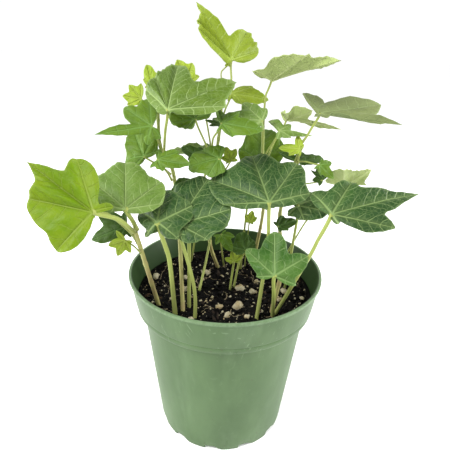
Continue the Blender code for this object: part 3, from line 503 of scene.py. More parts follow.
chance = random.Random(5)
bm = bmesh.new()
for k in range(ROOT_COUNT):
    x, y = chance.uniform(-44, 44), chance.uniform(-44, 44)
    heading = chance.uniform(0, 6.3)
    hop = chance.uniform(0.5, 1.1)
    thick = chance.uniform(0.12, 0.28)
    path = []
    for step in range(ROOT_STEPS):
        if math.hypot(x, y) < 49.0:
            lift = 0.2 + 1.6 * max(0.0, noise.noise(Vector((x, y, k)) * 0.25))
            path.append(Vector((x, y, soil_surface(x, y) + lift)))
        heading += chance.uniform(-0.45, 0.45)
        x, y = x + hop * math.cos(heading), y + hop * math.sin(heading)
    if len(path) > 4:
        tube(bm, path, [thick * (1.0 - 0.6 * i / len(path)) for i in range(len(path))], 6)
bmesh.ops.recalc_face_normals(bm, faces=bm.faces)
fibre = Finish("fine_roots", Specular_IOR_Level=0.4)
tint = fibre.spots(fibre.node("TexCoord", output=3), 120.0, 2.0)
fibre.paint(fibre.mix(tint, ROOT_WHITE, ROOT_BROWN), 0.6)
soil_pieces.append(new_piece(bm, "soil_roots", fibre.material))

for piece in soil_pieces:
    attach(piece, "root")
    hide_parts("soil")

# ---------------------------------------------------------------- shoots
# The shoots that carry the leaves: rooted cuttings, woody and tan near the soil and green at the
# top, with a swollen joint wherever a leaf has grown. Each stands a little way into the peat.

JOINT_SPACING = 13.0
JOINT_SWELL = 0.22
JOINT_HALF_LENGTH = 0.9
SHOOT_SIDES = 14
SHOOT_STEPS = 16
SHOOT_SUNK = 3.0
TAN = (0.350, 0.335, 0.120)
TAN_PINK = (0.320, 0.255, 0.115)
SHOOT_GREEN = (0.240, 0.290, 0.070)
BARK_FLECK = (0.16, 0.10, 0.05)


def root(x, y):
    """Where a stalk or shoot stands on the soil."""
    return (x, y, soil_top(x, y) + SOIL_GAP)


def smooth_path(points, steps):
    """Points along a Catmull-Rom curve through the given ones."""
    points = [Vector(p) for p in points]
    ends = [points[0] * 2 - points[1]] + points + [points[-1] * 2 - points[-2]]
    path = []
    for a, b, c, d in zip(ends, ends[1:], ends[2:], ends[3:]):
        for k in range(steps):
            t = k / steps
            path.append(0.5 * (2 * b + (c - a) * t + (2 * a - 5 * b + 4 * c - d) * t ** 2
                               + (3 * b - a - 3 * c + d) * t ** 3))
    path.append(points[-1])
    return path


def sunk(path, depth):
    """The path with one more point, run back a little past its start."""
    return [path[0] - (path[1] - path[0]).normalized() * depth] + path


rind = Finish("shoot_rind", Specular_IOR_Level=0.25)
place = rind.node("TexCoord", output=3)
height = rind.part(place, 2)
patch = rind.spots(place, 90.0, 3.0)
fleck = rind.spots(rind.stretch(place, (1.0, 1.0, 0.25)), 1300.0, 3.0)
skin = rind.mix(rind.band(patch, 0.42, 0.62), TAN, TAN_PINK)
skin = rind.mix(rind.band(height + patch * 0.05, 0.125, 0.215), skin, SHOOT_GREEN)
skin = rind.mix(rind.band(fleck, 0.60, 0.72) * 0.5, skin, BARK_FLECK)
rind.paint(skin, 0.55, fleck, 0.15)

for name, points, thick, thin in (      # the way up, and the radius at the foot and at the top
        ("stem_left", [root(-38, -19), (-44, -26, 126), (-46, -32, 143)], 1.25, 1.1),
        ("stem_mid_left", [root(-23, -27), (-26, -13, 136), (-30, -2, 165), (-36, -2, 177),
                           (-38, 3, 187), (-38.5, 8, 204)], 1.15, 0.8),
        ("stem_centre", [root(-5, 24), (-10, 9, 120), (-8, 7, 150), (-7, 6, 172),
                         (-5, 5, 193), (-5, 4, 212)], 1.1, 0.75),
        ("stem_back", [root(18, 28), (22, 22, 130), (21, 14, 152), (19, 9, 170),
                       (18, 7, 190)], 1.1, 0.8),
        ("stem_right", [root(27, -23), (31, -19, 118), (29, -8, 145), (35, 0, 168),
                        (39, 0, 182)], 1.15, 0.9)):
    path = sunk(smooth_path(points, SHOOT_STEPS), SHOOT_SUNK)
    radii = []
    gone = 0.0
    for k, spot in enumerate(path):
        gone += (spot - path[max(k - 1, 0)]).length
        joint = math.exp(-((gone % JOINT_SPACING - JOINT_SPACING / 2) / JOINT_HALF_LENGTH) ** 2)
        radii.append(thick + (thin - thick) * k / (len(path) - 1) + JOINT_SWELL * joint)
    bm = bmesh.new()
    tube(bm, path, radii, SHOOT_SIDES)
    shoot = new_piece(bm, name + "_shoot", rind.material)
    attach(shoot, "root")
    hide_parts(name)

# ---------------------------------------------------------------- leaves
# Each ivy leaf is one thin blade of five lobes on its own stalk, which rises from the soil or from a
# shoot. Pale veins run from the stalk into every lobe, a little sunk above and raised underneath.

BLADE_THICK = 0.35
EDGE_THICK = 0.18
STALK_SIDES = 10
SECTOR_STEPS = 20
VEIN_CROWDING = 0.6           # how closely the mesh's lines crowd towards the veins
VEIN_FAN = 52.0               # degrees between neighbouring main veins in the blade's own lay
LAY = (-180.0, -104.0, -52.0, 0.0, 52.0, 104.0, 180.0)
RINGS = (0.03, 0.07, 0.13, 0.20, 0.28, 0.36, 0.44, 0.52,
         0.60, 0.68, 0.75, 0.82, 0.88, 0.93, 0.97, 1.0)
REACH_UNIT = 60.0             # millimetres from the stalk that the pattern map counts as 1
# a side vein leaves its main vein at a slant and bows, one every few millimetres
SIDE_SLANT, SIDE_BOW, SIDE_SPACING = 0.5, 0.03, 5.4
# how far the blade swells between its main veins and its side veins
PILLOW, PILLOW_REACH, RIPPLE = 1.8, 3.0, 0.34
# each main vein's groove on the upper side and its rib underneath: depth, then half width
GROOVE, RIB = (0.35, 0.6), (0.4, 0.7)
# the slow wave and the fine crimp of the margin, and the droop towards it
WAVE, CRIMP, DROOP = 4.2, 0.8, 0.6
EDGE_NICKS = 0.02
# a leaf's habit: the spread (degrees) and bluntness of its tip, then of its side lobes
HABIT = {"shallow": (75.0, 1.6, 75.0, 1.6), "broad": (66.0, 1.3, 66.0, 1.3),
         "lobed": (56.0, 1.15, 56.0, 1.15), "tailed": (34.0, 0.8, 64.0, 1.3),
         "fan": (42.0, 0.9, 64.0, 1.3), "flared": (38.0, 0.8, 70.0, 1.9)}
BASE_SHARE = 0.55             # share of its spread in which a base lobe falls away to the stalk
BODY_SHARE = 0.32             # least reach of a blade, as a share of its lobes' mean length
LOBE_BLEND = 8                # the higher, the sharper the notches between the lobes
STALK_TOP = (0.270, 0.320, 0.080)
STALK_FOOT = (0.245, 0.275, 0.080)
STALK_SLENDER = 0.85
STALK_FLARE = 0.25            # how much thicker the stalk is at its foot and under the blade
STALK_STEPS = 6
STALK_SUNK = 2.0
STALK_EASING = 12             # passes that smooth the bends out of a stalk


def leaf_finish(name, slot, blade, mottle, vein, under, vein_show=0.85, net_show=0.4):
    """The skin of a leaf: green with paler main veins, side veins and a fine net, paler below."""
    skin = Finish(name, Specular_IOR_Level=0.16)
    place = skin.node("TexCoord", output=3)
    lay = skin.node("UVMap", {"uv_map": "veins"})
    made = skin.node("Attribute", {"attribute_name": "make"})
    turn, reach = skin.part(lay, 0), skin.part(lay, 1) * REACH_UNIT
    below, stalk, share = (skin.part(made, axis) for axis in range(3))
    sway = skin.spots(place, 130.0, 2.0) - 0.5
    fan = turn * (360.0 / VEIN_FAN) - 180.0 / VEIN_FAN + sway * 0.05
    behind = skin.band(fan.maths('ABSOLUTE', fan), 2.35, 2.6)
    angle = fan.maths('PINGPONG', fan, 0.5)
    angle = angle.maths('MAXIMUM', angle, behind * 0.5) * math.radians(VEIN_FAN)
    across = reach * angle.maths('SINE', angle)
    along = reach * angle.maths('COSINE', angle)
    width = 0.74 - share * 0.52
    main = skin.band(across / width, 0.55, 1.25, 1.0, 0.0)
    branch = along - across * SIDE_SLANT - across * across * SIDE_BOW + sway * 5.0
    branch = branch.maths('PINGPONG', branch, SIDE_SPACING / 2.0)
    side = skin.band(branch, 0.06, 0.42, 1.0, 0.0) * skin.band(across, 4.0, 14.0, 1.0, 0.45)
    side = side * skin.band(angle, 0.29, 0.45, 1.0, 0.25)
    net = skin.node("TexVoronoi", {"feature": 'DISTANCE_TO_EDGE'}, {"Vector": place, "Scale": 420.0})
    net = skin.band(net, 0.02, 0.10, 1.0, 0.0)
    cloud = skin.band(skin.spots(place, 75.0, 4.0, 0.6), 0.35, 0.68)
    veins = main.maths('MAXIMUM', main, side * 0.85)
    veins = veins.maths('MAXIMUM', veins, net * net_show * 0.5)
    green = skin.mix(cloud, blade, mottle)
    green = skin.mix(skin.band(across, 0.2, 3.5, 0.22, 0.0), green, vein)
    green = skin.mix(skin.band(share, 0.93, 1.0) * 0.35, green, vein)
    top = skin.mix(veins * vein_show, green, vein)
    low = skin.mix(cloud * 0.5, under, green)
    low = skin.mix(veins * 0.6, low, vein)
    leaf = skin.mix(below, top, low)
    rod = skin.mix(skin.band(share + sway * 0.2, 0.0, 0.35), STALK_FOOT, STALK_TOP)
    leaf = skin.mix(stalk, leaf, rod)
    skin.paint(colour=leaf, roughness=0.40 + below * 0.18 + cloud * 0.08,
               height=cloud * 0.4 - veins * 0.6, depth=0.4)
    return skin.material, slot


def wrap(angle):
    return (angle + 180.0) % 360.0 - 180.0


def margin(angle, lobes, habit):
    """How far the blade reaches from the stalk: five lobes that run into each other."""
    tip_spread, tip_blunt, side_spread, side_blunt = HABIT[habit]
    mean = sum(lobe[1] for lobe in lobes) / len(lobes)
    total = (mean * BODY_SHARE * (0.55 + 0.45 * math.cos(math.radians(angle)))) ** LOBE_BLEND
    for k, (centre, length, lift, *narrow) in enumerate(lobes):
        spread, blunt = (tip_spread, tip_blunt) if k == 0 else (side_spread, side_blunt)
        spread = narrow[0] if narrow else spread
        off = wrap(angle - centre)
        if k > 2 and off * centre > 0.0:
            spread *= BASE_SHARE
        off = abs(off) / spread
        if off < 1.0:
            total += (length * (1.0 - off ** blunt)) ** LOBE_BLEND
    return total ** (1.0 / LOBE_BLEND)


def lift_at(angle, lobes):
    """How far the margin rises or droops in this direction, blended between the lobes."""
    around = [(lobe[0] % 360.0, lobe[2]) for lobe in lobes]
    around = sorted(around + [(180.0, 0.5 * (lobes[-1][2] + lobes[-2][2]))])
    angle %= 360.0
    for (a, low), (b, high) in zip(around, around[1:] + [(around[0][0] + 360.0, around[0][1])]):
        if a <= angle <= b:
            return low + (high - low) * (0.5 - 0.5 * math.cos(math.pi * (angle - a) / (b - a)))
    return around[0][1]


def grow_leaf(name, finish, habit, at, faces, spin, lobes, stalk, thick=1.15):
    """One leaf with its stalk. at: where the stalk meets the blade. faces: compass angle and height
    angle of the upper side. spin: turn of the tip from straight uphill. lobes: the tip's length,
    lift, and own spread if it is narrow, then the same after the direction from the tip for the left,
    right, left base and right base lobes. stalk: places from the root up, without the blade's end.
    thick: the stalk's radius."""
    direction, height = (math.radians(v) for v in faces)
    normal = Vector((math.cos(height) * math.cos(direction), math.cos(height) * math.sin(direction),
                     math.sin(height)))
    uphill = Vector((-math.sin(height) * math.cos(direction), -math.sin(height) * math.sin(direction),
                     math.cos(height)))
    level = normal.cross(uphill)
    turn = math.radians(spin)
    forward = uphill * math.cos(turn) + level * math.sin(turn)
    side = normal.cross(forward)
    centre = Vector(at)
    lobes = [(0.0, *lobes[0])] + lobes[1:]
    left, right, left_base, right_base = (lobe[0] for lobe in lobes[1:])
    size = min(1.0, sum(lobe[1] for lobe in lobes) / 110.0)
    own = centre * 0.37
    marks = (-180.0, right_base, right, 0.0, left, left_base, 180.0)
    columns = []
    for low, high, lay_low, lay_high in zip(marks, marks[1:], LAY, LAY[1:]):
        for i in range(SECTOR_STEPS):
            share = i / SECTOR_STEPS
            share -= VEIN_CROWDING * math.sin(2 * math.pi * share) / (2 * math.pi)
            columns.append((low + (high - low) * share, lay_low + (lay_high - lay_low) * share))
    columns.append((180.0, 180.0))

    def place(angle, lay, share, below):
        a, b = math.radians(angle), math.radians(lay)
        way = Vector((math.cos(b), math.sin(b), 0.0))
        reach = margin(angle, lobes, habit) * share
        reach *= 1.0 + EDGE_NICKS * noise.noise(way * 5.0 + own)
        fan = min(abs(wrap(lay - vein)) for vein in LAY[1:-1])
        across = reach * math.sin(math.radians(min(fan, 45.0)))
        along = reach * math.cos(math.radians(min(fan, 45.0)))
        up = lift_at(angle, lobes) * share * share
        up += size * PILLOW * (1.0 - math.exp(-(across / PILLOW_REACH) ** 2))
        up -= GROOVE[0] * math.exp(-(across / GROOVE[1]) ** 2)
        line = along - SIDE_SLANT * across - SIDE_BOW * across * across
        up -= RIPPLE * math.cos(line * 2 * math.pi / SIDE_SPACING) * min(1.0, across / 4.0)
        up += size * WAVE * share ** 2.5 * noise.noise(way * 2.1 + own)
        up += size * CRIMP * share ** 3 * noise.noise(way * 6.0 + own)
        up -= size * DROOP * share
        if below:
            up -= BLADE_THICK + (EDGE_THICK - BLADE_THICK) * share
            up -= RIB[0] * (1.0 - 0.8 * share) * math.exp(-(across / RIB[1]) ** 2)
        level = (forward * math.cos(a) + side * math.sin(a)) * reach
        return (centre + level + normal * up) * MM, reach

    def draw(corners, marked):
        """A face, with the turn and reach of each corner written on the pattern map."""
        for loop, (turn_share, reach) in zip(bm.faces.new(corners).loops, marked):
            loop[veins].uv = (turn_share, reach / REACH_UNIT)

    bm = bmesh.new()
    make = bm.verts.layers.float_color.new("make")
    veins = bm.loops.layers.uv.new("veins")
    count = len(columns) - 1
    edge = None
    for below in (0.0, 1.0):
        rings, reaches = [], []
        for share in RINGS:
            spots = [place(angle, lay, share, below) for angle, lay in columns]
            reaches.append([reach for spot, reach in spots])
            ring = [bm.verts.new(spot) for spot, reach in spots[:count]]
            for vertex in ring:
                vertex[make] = (below, 0.0, share, 1.0)
            rings.append(ring)
        heart = bm.verts.new((centre - normal * (BLADE_THICK + RIB[0] if below else 0.2)) * MM)
        heart[make] = (below, 0.0, 0.0, 1.0)
        for i in range(count):
            j = (i + 1) % count
            here, there = (columns[i][1] + 180.0) / 360.0, (columns[i + 1][1] + 180.0) / 360.0
            draw((heart, rings[0][i], rings[0][j]),
                 ((here, 0.0), (here, reaches[0][i]), (there, reaches[0][i + 1])))
            for inner, outer, near, far in zip(rings, rings[1:], reaches, reaches[1:]):
                draw((inner[i], outer[i], outer[j], inner[j]),
                     ((here, near[i]), (here, far[i]), (there, far[i + 1]), (there, near[i + 1])))
            if edge:
                draw((edge[i], rings[-1][i], rings[-1][j], edge[j]),
                     [(u, reaches[-1][i]) for u in (here, here, there, there)])
        edge = rings[-1]

    # stalk: a curve from the root to the underside, which it meets square on
    under = centre - normal * BLADE_THICK
    way = [Vector(p) for p in stalk]
    gap = under - way[-1]
    aim = (gap.normalized() + Vector((0, 0, 0.5))).normalized()
    arrive = (gap.normalized() * 1.2 + normal).normalized()
    p0, p3 = way[-1], under
    p1, p2 = p0 + aim * gap.length * 0.33, p3 - arrive * gap.length * 0.33
    bend = [p0 * (1 - t) ** 3 + 3 * p1 * t * (1 - t) ** 2 + 3 * p2 * t * t * (1 - t) + p3 * t ** 3
            for t in (0.0, 0.25, 0.5, 0.75, 1.0)]
    path = sunk(smooth_path(way[:-1] + bend, STALK_STEPS), STALK_SUNK)
    for _ in range(STALK_EASING):
        path[2:-1] = [(a + b * 2 + c) / 4 for a, b, c in zip(path[1:], path[2:-1], path[3:])]
    last = len(path) - 1
    radii = []
    for k, spot in enumerate(path):
        flare = STALK_FLARE * (math.exp(-k / 2.0) + math.exp((k - last) / 1.5))
        radii.append(thick * STALK_SLENDER * (1.0 + flare + 0.06 * noise.noise(spot * 0.2)))
    for k, ring in enumerate(tube(bm, path, radii, STALK_SIDES)):
        for vertex in ring:
            vertex[make] = (0.0, 1.0, k / last, 1.0)
    bmesh.ops.recalc_face_normals(bm, faces=bm.faces)
    skin, slot = finish
    leaf = new_piece(bm, name + "_blade", skin)
    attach(leaf, "root")
    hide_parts(name)


# colours of the upper side, its mottling, its veins and the underside, then how much the veins show
dark = leaf_finish("ivy_dark", "leaf_dark", (0.018, 0.050, 0.011), (0.028, 0.072, 0.014),
                   (0.180, 0.260, 0.090), (0.100, 0.170, 0.060), 0.95, 0.45)
# painted shade: a darker copy of the leaf green, for the leaves that lie in shadow inside the crown
shade = leaf_finish("ivy_shaded", "leaf_dark", (0.028, 0.062, 0.006), (0.042, 0.086, 0.008),
                    (0.090, 0.170, 0.045), (0.085, 0.150, 0.045), 0.6)
mid = leaf_finish("ivy_mid", "leaf_mid", (0.066, 0.128, 0.006), (0.092, 0.162, 0.008),
                  (0.140, 0.250, 0.055), (0.130, 0.210, 0.060), 0.6)
fresh = leaf_finish("ivy_fresh", "leaf_mid", (0.064, 0.118, 0.010), (0.092, 0.152, 0.014),
                    (0.270, 0.370, 0.130), (0.130, 0.210, 0.060))
front = leaf_finish("ivy_front", "leaf_mid", (0.024, 0.078, 0.008), (0.050, 0.118, 0.016),
                    (0.190, 0.290, 0.100), (0.130, 0.210, 0.060), 0.7)
grey = leaf_finish("ivy_grey_green", "leaf_mid", (0.125, 0.155, 0.055), (0.165, 0.200, 0.072),
                   (0.220, 0.280, 0.110), (0.170, 0.220, 0.090), 0.6)
pale = leaf_finish("ivy_pale", "leaf_light", (0.084, 0.150, 0.022), (0.112, 0.185, 0.032),
                   (0.255, 0.350, 0.120), (0.210, 0.290, 0.090), 0.8)
wan = leaf_finish("ivy_underside", "leaf_light", (0.190, 0.270, 0.075), (0.230, 0.310, 0.090),
                  (0.420, 0.470, 0.220), (0.340, 0.410, 0.150))
lime = leaf_finish("ivy_lime", "leaf_lime", (0.095, 0.175, 0.001), (0.140, 0.215, 0.002),
                   (0.190, 0.260, 0.035), (0.150, 0.210, 0.025), 0.6)
sunlit = leaf_finish("ivy_sunlit", "leaf_lime", (0.140, 0.200, 0.010), (0.175, 0.235, 0.014),
                     (0.300, 0.390, 0.070), (0.250, 0.310, 0.050), 0.6)
young = leaf_finish("ivy_young", "leaf_young", (0.210, 0.310, 0.015), (0.260, 0.350, 0.024),
                    (0.330, 0.400, 0.080), (0.250, 0.320, 0.050), 0.5)

grow_leaf("leaf_front_right", dark, "broad", at=(20.1, -33.1, 161.6), faces=(-95, 60), spin=17,
          lobes=[(35.5, -2), (46, 35, -3), (-42, 32, -2), (77, 19, -2), (-84, 22, -1)],
          stalk=[root(18, -31), (21, -27, 125), (21.5, -28, 140)])
grow_leaf("leaf_right_pointed", dark, "tailed", at=(49, -42, 160), faces=(-105, 58), spin=-60,
          lobes=[(45, -3, 46), (42, 23, 1), (-33, 29, -3, 40), (98, 19, -2), (-80, 6, -1)],
          stalk=[root(29, -25), (35, -28, 109), (43, -36, 136)])
grow_leaf("leaf_left_lime", lime, "flared", at=(-58, -60, 165), faces=(-80, 38), spin=49,
          lobes=[(37, 0), (25, 28, -2), (-34, 25, 2, 42), (86, 22, -3), (-122, 9, -2, 40)],
          stalk=[(-47, -35, 145), (-49, -42, 152)], thick=1.3)
grow_leaf("leaf_left_round", pale, "shallow", at=(-48, -41.7, 159.4), faces=(-80, 58), spin=0,
          lobes=[(29, -2), (40, 26, -2), (-45, 24, -2), (72, 18, -2), (-78, 14, -2)],
          stalk=[(-46, -31, 145)], thick=1.3)
grow_leaf("leaf_front_left", dark, "shallow", at=(-34, -38, 151), faces=(-95, 58), spin=2,
          lobes=[(22, -1), (50, 13, -2), (-52, 20, -1), (138, 8, -3), (-120, 12, -4)],
          stalk=[root(-27, -30), (-29, -31, 125)], thick=1.4)
grow_leaf("leaf_front_centre", dark, "shallow", at=(-24.8, -33.8, 148.8), faces=(-110, 52), spin=-61,
          lobes=[(28, -1), (49, 30, -1), (-42, 15, -2), (88, 17, 0), (-85, 8, -2)],
          stalk=[root(-16, -31), (-16, -29, 110), (-23, -29, 136)])
grow_leaf("leaf_inner_shade", shade, "shallow", at=(-20, -22, 155), faces=(-90, 57), spin=9,
          lobes=[(18, -1), (44, 13, -1), (-44, 20, -1), (82, 14, -1), (-82, 14, -1)],
          stalk=[root(-20, -22), (-20, -20, 125)])
grow_leaf("leaf_right_low", dark, "shallow", at=(36, -22, 156), faces=(-90, 60), spin=-97,
          lobes=[(16, -2), (35, 15, 0), (-60, 8, -3), (110, 11, 0), (-130, 7, -2)],
          stalk=[root(37, 2), (38, -12, 142)], thick=0.9)
grow_leaf("leaf_left_low", shade, "lobed", at=(-53, -22, 141), faces=(-90, 55), spin=112,
          lobes=[(19, -2), (40, 9, -2), (-49, 18, 0), (100, 6, -1), (-98, 9, 0)],
          stalk=[(-46.8, -27.2, 135)], thick=0.7)
grow_leaf("leaf_left_back", mid, "tailed", at=(-77, -22, 152), faces=(-90, 60), spin=44,
          lobes=[(38, 0), (40, 18, -1), (-30, 24, 0), (95, 9, 0), (-90, 9, 0)],
          stalk=[(-47, -28, 138), (-60, -22, 147)], thick=0.7)
grow_leaf("leaf_pot_front", front, "broad", at=(24, -46, 128), faces=(-80, 38), spin=-7,
          lobes=[(23, -1, 58), (50, 19, 0, 56), (-57, 20, 0, 56), (95, 9, 0), (-108, 12, 0)],
          stalk=[root(27, -28), (26, -34, 108)])
grow_leaf("leaf_low_right", shade, "lobed", at=(27, -20, 143), faces=(-90, 60), spin=-64,
          lobes=[(12, -1), (40, 8, 0), (-44, 6, 0), (100, 4, 0), (-100, 4, 0)],
          stalk=[(29.2, -13.5, 138)], thick=0.5)
grow_leaf("leaf_low_centre", shade, "shallow", at=(12, 4, 116), faces=(-90, 50), spin=18,
          lobes=[(12, 0), (57, 9, 0), (-53, 8, 0), (100, 6, 0), (-100, 6, 0)], stalk=[root(5.5, -0.5),
          (8, 3, 108)], thick=0.75)
grow_leaf("young_leaf_fork", young, "lobed", at=(5, 0, 110), faces=(-90, 40), spin=10, lobes=[(7, 0),
          (60, 6, 0), (-54, 7, 0), (105, 3, 0), (-105, 3, 0)], stalk=[root(3.2, -2.5)], thick=0.75)
grow_leaf("young_leaf_low", mid, "lobed", at=(-3, 6, 125), faces=(-90, 40), spin=-147, lobes=[(12, 0),
          (49, 8, 0), (-60, 7, 0), (105, 4, 0), (-110, 5, 0)], stalk=[root(-1, 27), (-3, 17, 112)],
          thick=0.6)
grow_leaf("young_leaf_back", young, "lobed", at=(14, 20, 127), faces=(-90, 30), spin=-14,
          lobes=[(8, 0), (40, 6, 0), (-40, 6, 0), (95, 3, 0), (-95, 3, 0)], stalk=[root(13, 27)],
          thick=0.5)
grow_leaf("young_leaf_left", young, "lobed", at=(-52, -30, 137), faces=(-90, 30), spin=155,
          lobes=[(9, 0), (50, 7, 0), (-45, 9, 0), (105, 4, 0), (-110, 7, 0)],
          stalk=[(-45.5, -29.6, 131)], thick=0.5)
grow_leaf("leaf_inner_left", mid, "lobed", at=(-36, -18, 177), faces=(-90, 60), spin=-100,
          lobes=[(17, 0), (40, 12, 0), (-57, 9, 0), (100, 8, 0), (-110, 6, 0)],
          stalk=[(-31, -5.6, 163)], thick=0.6)
grow_leaf("leaf_inner_back", pale, "lobed", at=(-12, 16, 172.5), faces=(90, 55), spin=-100,
          lobes=[(24, 0), (50, 18, 0), (-45, 10, 3), (100, 13, 0), (-100, 8, 4)],
          stalk=[root(-23, 33), (-20, 28, 112)], thick=0.7)
grow_leaf("leaf_inner_mid", shade, "lobed", at=(-14.3, -0.2, 173.3), faces=(-90, 55), spin=59,
          lobes=[(14, 0), (40, 8, 0), (-46, 8, 0), (95, 4, 0), (-95, 5, 0)], stalk=[(-9.6, 5, 162)],
          thick=0.5)
grow_leaf("leaf_inner_front", mid, "shallow", at=(-5, -11.9, 176.6), faces=(-120, 55), spin=113,
          lobes=[(18, -2), (57, 11, -2), (-38, 12, 0), (100, 8, -2), (-95, 9, 0)],
          stalk=[(-13.6, -26, 108), (-8, -12, 134), (-7, -5, 158)], thick=0.75)
grow_leaf("leaf_behind_right", mid, "shallow", at=(17, 14, 169), faces=(-90, 50), spin=-9,
          lobes=[(24, -1), (58, 14, 0), (-42, 18, 0), (98, 10, 0), (-88, 12, 0)], stalk=[root(10, 24),
          (12, 24, 132)], thick=0.8)
grow_leaf("young_leaf_right", young, "lobed", at=(37, -5, 181), faces=(-90, 50), spin=82,
          lobes=[(11, -1), (40, 7, 0), (-75, 8, 1), (100, 4, 0), (-120, 4, 0)],
          stalk=[(37.3, -2, 174)], thick=0.45)
grow_leaf("leaf_right_small", shade, "lobed", at=(38, 7, 171), faces=(-80, 66), spin=-80,
          lobes=[(17, -1), (47, 10, 0), (-45, 5, 0), (125, 12, 0), (-115, 4, 0)],
          stalk=[(34, 3, 160)], thick=0.5)
grow_leaf("leaf_right_hanging", mid, "lobed", at=(49, -2, 172), faces=(-70, 35), spin=-139,
          lobes=[(11, 0), (53, 8, 0), (-43, 6, 0), (105, 4, 0), (-105, 4, 0)],
          stalk=[(38.2, -1, 173)], thick=0.5)
grow_leaf("leaf_right_inner", shade, "tailed", at=(53, 4, 161.5), faces=(-90, 40), spin=51,
          lobes=[(9, 0), (40, 6, 0), (-30, 8, 0), (95, 4, 0), (-90, 4, 0)], stalk=[(34.5, -2.4, 158)],
          thick=0.5)
grow_leaf("leaf_right_underside", wan, "lobed", at=(67.5, 14, 155.5), faces=(90, 52), spin=18,
          lobes=[(25, 0), (40, 13, 0), (-32, 27, 0), (90, 9, 0), (-80, 14, 0)], stalk=[root(31, 14),
          (39, 10, 115), (46, 6, 135)], thick=0.6)
grow_leaf("young_leaf_centre", young, "lobed", at=(1, 0, 172), faces=(-90, 40), spin=20,
          lobes=[(9, 0), (50, 6, 0), (-40, 8, 0), (100, 3, 0), (-100, 4, 0)], stalk=[(-4.6, 4, 160)],
          thick=0.5)
grow_leaf("leaf_upper_left", fresh, "lobed", at=(-29.5, -24, 203), faces=(-100, 58), spin=6,
          lobes=[(36, -2), (22, 27, -2), (-54, 38, -1), (38, 21, -2), (-80, 27, -2)],
          stalk=[(-34.5, -5.5, 174), (-32.5, -13, 188)], thick=0.8)
grow_leaf("leaf_upper_left_under", mid, "shallow", at=(-18, -4, 195), faces=(-90, 60), spin=54,
          lobes=[(18, -1), (45, 12, -2), (-60, 18, -1), (95, 9, -1), (-105, 9, -1)],
          stalk=[(-9.8, 5, 166), (-11, -2, 177)], thick=0.6)
grow_leaf("leaf_left_tailed", mid, "tailed", at=(-39, -14, 193), faces=(-70, 55), spin=97,
          lobes=[(28, -1), (60, 8, -3), (-58, 18, 0), (122, 7, -3), (-105, 20, 0)],
          stalk=[(-37.2, -2.5, 181)], thick=0.6)
grow_leaf("leaf_left_hanging", mid, "shallow", at=(-44.8, -7, 175.1), faces=(-110, 45), spin=39,
          lobes=[(18, 0), (62, 12, -2), (-40, 13, 0), (105, 8, -1), (-90, 8, 0)],
          stalk=[(-32.4, -4.6, 166)], thick=0.6)
grow_leaf("leaf_top", sunlit, "fan", at=(0, 0, 224), faces=(-55, 35), spin=16, lobes=[(33, 0),
          (13, 24, 0), (-62, 21.5, 0), (24, 13, 0), (-93, 19, 0)], stalk=[(-2.8, 2.6, 206),
          (0, 1, 213)], thick=0.6)
grow_leaf("leaf_upper_right", wan, "tailed", at=(21, 8, 214), faces=(90, 58), spin=50, lobes=[(39, 0),
          (30, 9, 6), (-24, 30, 0), (95, 6, 6), (-92, 16, 0)], stalk=[(18, 6.5, 192), (18, 6, 205)],
          thick=0.65)
grow_leaf("leaf_right_twisted", grey, "tailed", at=(46, -4, 200), faces=(-90, 72), spin=-105,
          lobes=[(40, 0), (33, 34, 0), (-40, 5, 2), (125, 20, 1), (-120, 5, 2)],
          stalk=[(39, -0.5, 184), (41, -2, 188)], thick=0.75)
grow_leaf("leaf_right_narrow", wan, "tailed", at=(31, 12, 193), faces=(90, 62), spin=92,
          lobes=[(30, -2), (45, 12, 4), (-50, 17, 1), (100, 9, 5), (-105, 13, 1)],
          stalk=[(20, 10.5, 172)], thick=0.55)
grow_leaf("leaf_upper_centre_lime", sunlit, "lobed", at=(0.5, 12, 206), faces=(-90, 62), spin=-95,
          lobes=[(20, -3), (35, 13, 0), (-40, 8, -2), (120, 8, 0), (-110, 5, -1)],
          stalk=[(-3.4, 6.2, 196)], thick=0.55)
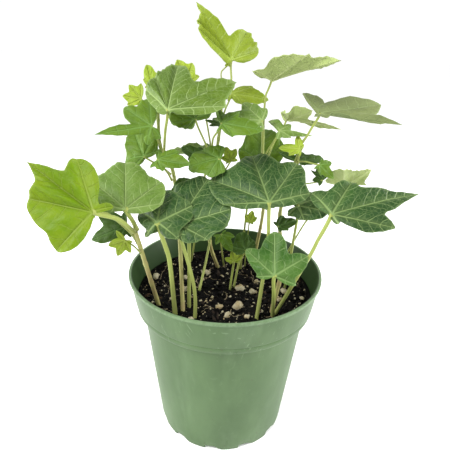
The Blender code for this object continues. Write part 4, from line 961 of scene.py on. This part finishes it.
grow_leaf("leaf_upper_centre", pale, "lobed", at=(16, -8, 196), faces=(-90, 60), spin=85,
          lobes=[(24, -1), (40, 5, -2), (-50, 17, 0), (110, 4, -2), (-100, 11, 0)],
          stalk=[(17.8, 5.5, 172), (18, 0, 180)], thick=0.6)
grow_leaf("leaf_centre_dark", mid, "lobed", at=(-4, -20, 196.5), faces=(-100, 60), spin=-93,
          lobes=[(20, -2), (57, 12, 0), (-40, 8, -2), (115, 11, 0), (-110, 5, -1)],
          stalk=[(-8.8, 4.6, 172), (-9, -6, 184)], thick=0.6)
grow_leaf("leaf_centre_small", shade, "tailed", at=(-5, -1, 192.2), faces=(-90, 70), spin=67,
          lobes=[(9, 0), (40, 6, 0), (-35, 7, 0), (100, 3, 0), (-100, 3, 0)], stalk=[(-6, 2.8, 183)],
          thick=0.4)
grow_leaf("leaf_centre_edge", pale, "tailed", at=(26, -2, 190), faces=(-90, 72), spin=-83,
          lobes=[(18, -3), (40, 9, 0), (-40, 7, -2), (104, 13, 0), (-112, 6, -1)],
          stalk=[(20.5, 6, 170), (22, -2, 179)], thick=0.6)
grow_leaf("young_leaf_side", young, "lobed", at=(-47.5, 8, 202), faces=(-80, 30), spin=78,
          lobes=[(10, 0), (35, 8, 0), (-41, 10, 0), (90, 5, 0), (-80, 9, 0)],
          stalk=[(-40.2, 6.5, 197)], thick=0.45)
grow_leaf("young_leaf_crown_left", young, "lobed", at=(-42, 12, 208.5), faces=(-80, 30), spin=11,
          lobes=[(12, 0), (40, 6, 0), (-35, 8, 0), (90, 4, 0), (-90, 4, 0)], stalk=[(-40, 10.6, 205)],
          thick=0.45)
grow_leaf("young_leaf_crown_right", young, "lobed", at=(-24, 16, 210), faces=(-90, 30), spin=23,
          lobes=[(14, 0), (35, 12, 0), (-35, 12, 0), (80, 7, 0), (-80, 8, 0)], stalk=[(-9.8, 7, 176),
          (-14, 10, 198)], thick=0.55)
grow_leaf("young_leaf_bud", young, "lobed", at=(-1, 3, 222), faces=(-90, 20), spin=61, lobes=[(4, 0),
          (60, 3, 0), (-60, 3, 0), (110, 2, 0), (-110, 2, 0)], stalk=[(-5, 4, 213), (-5.5, 4, 217)],
          thick=0.4)
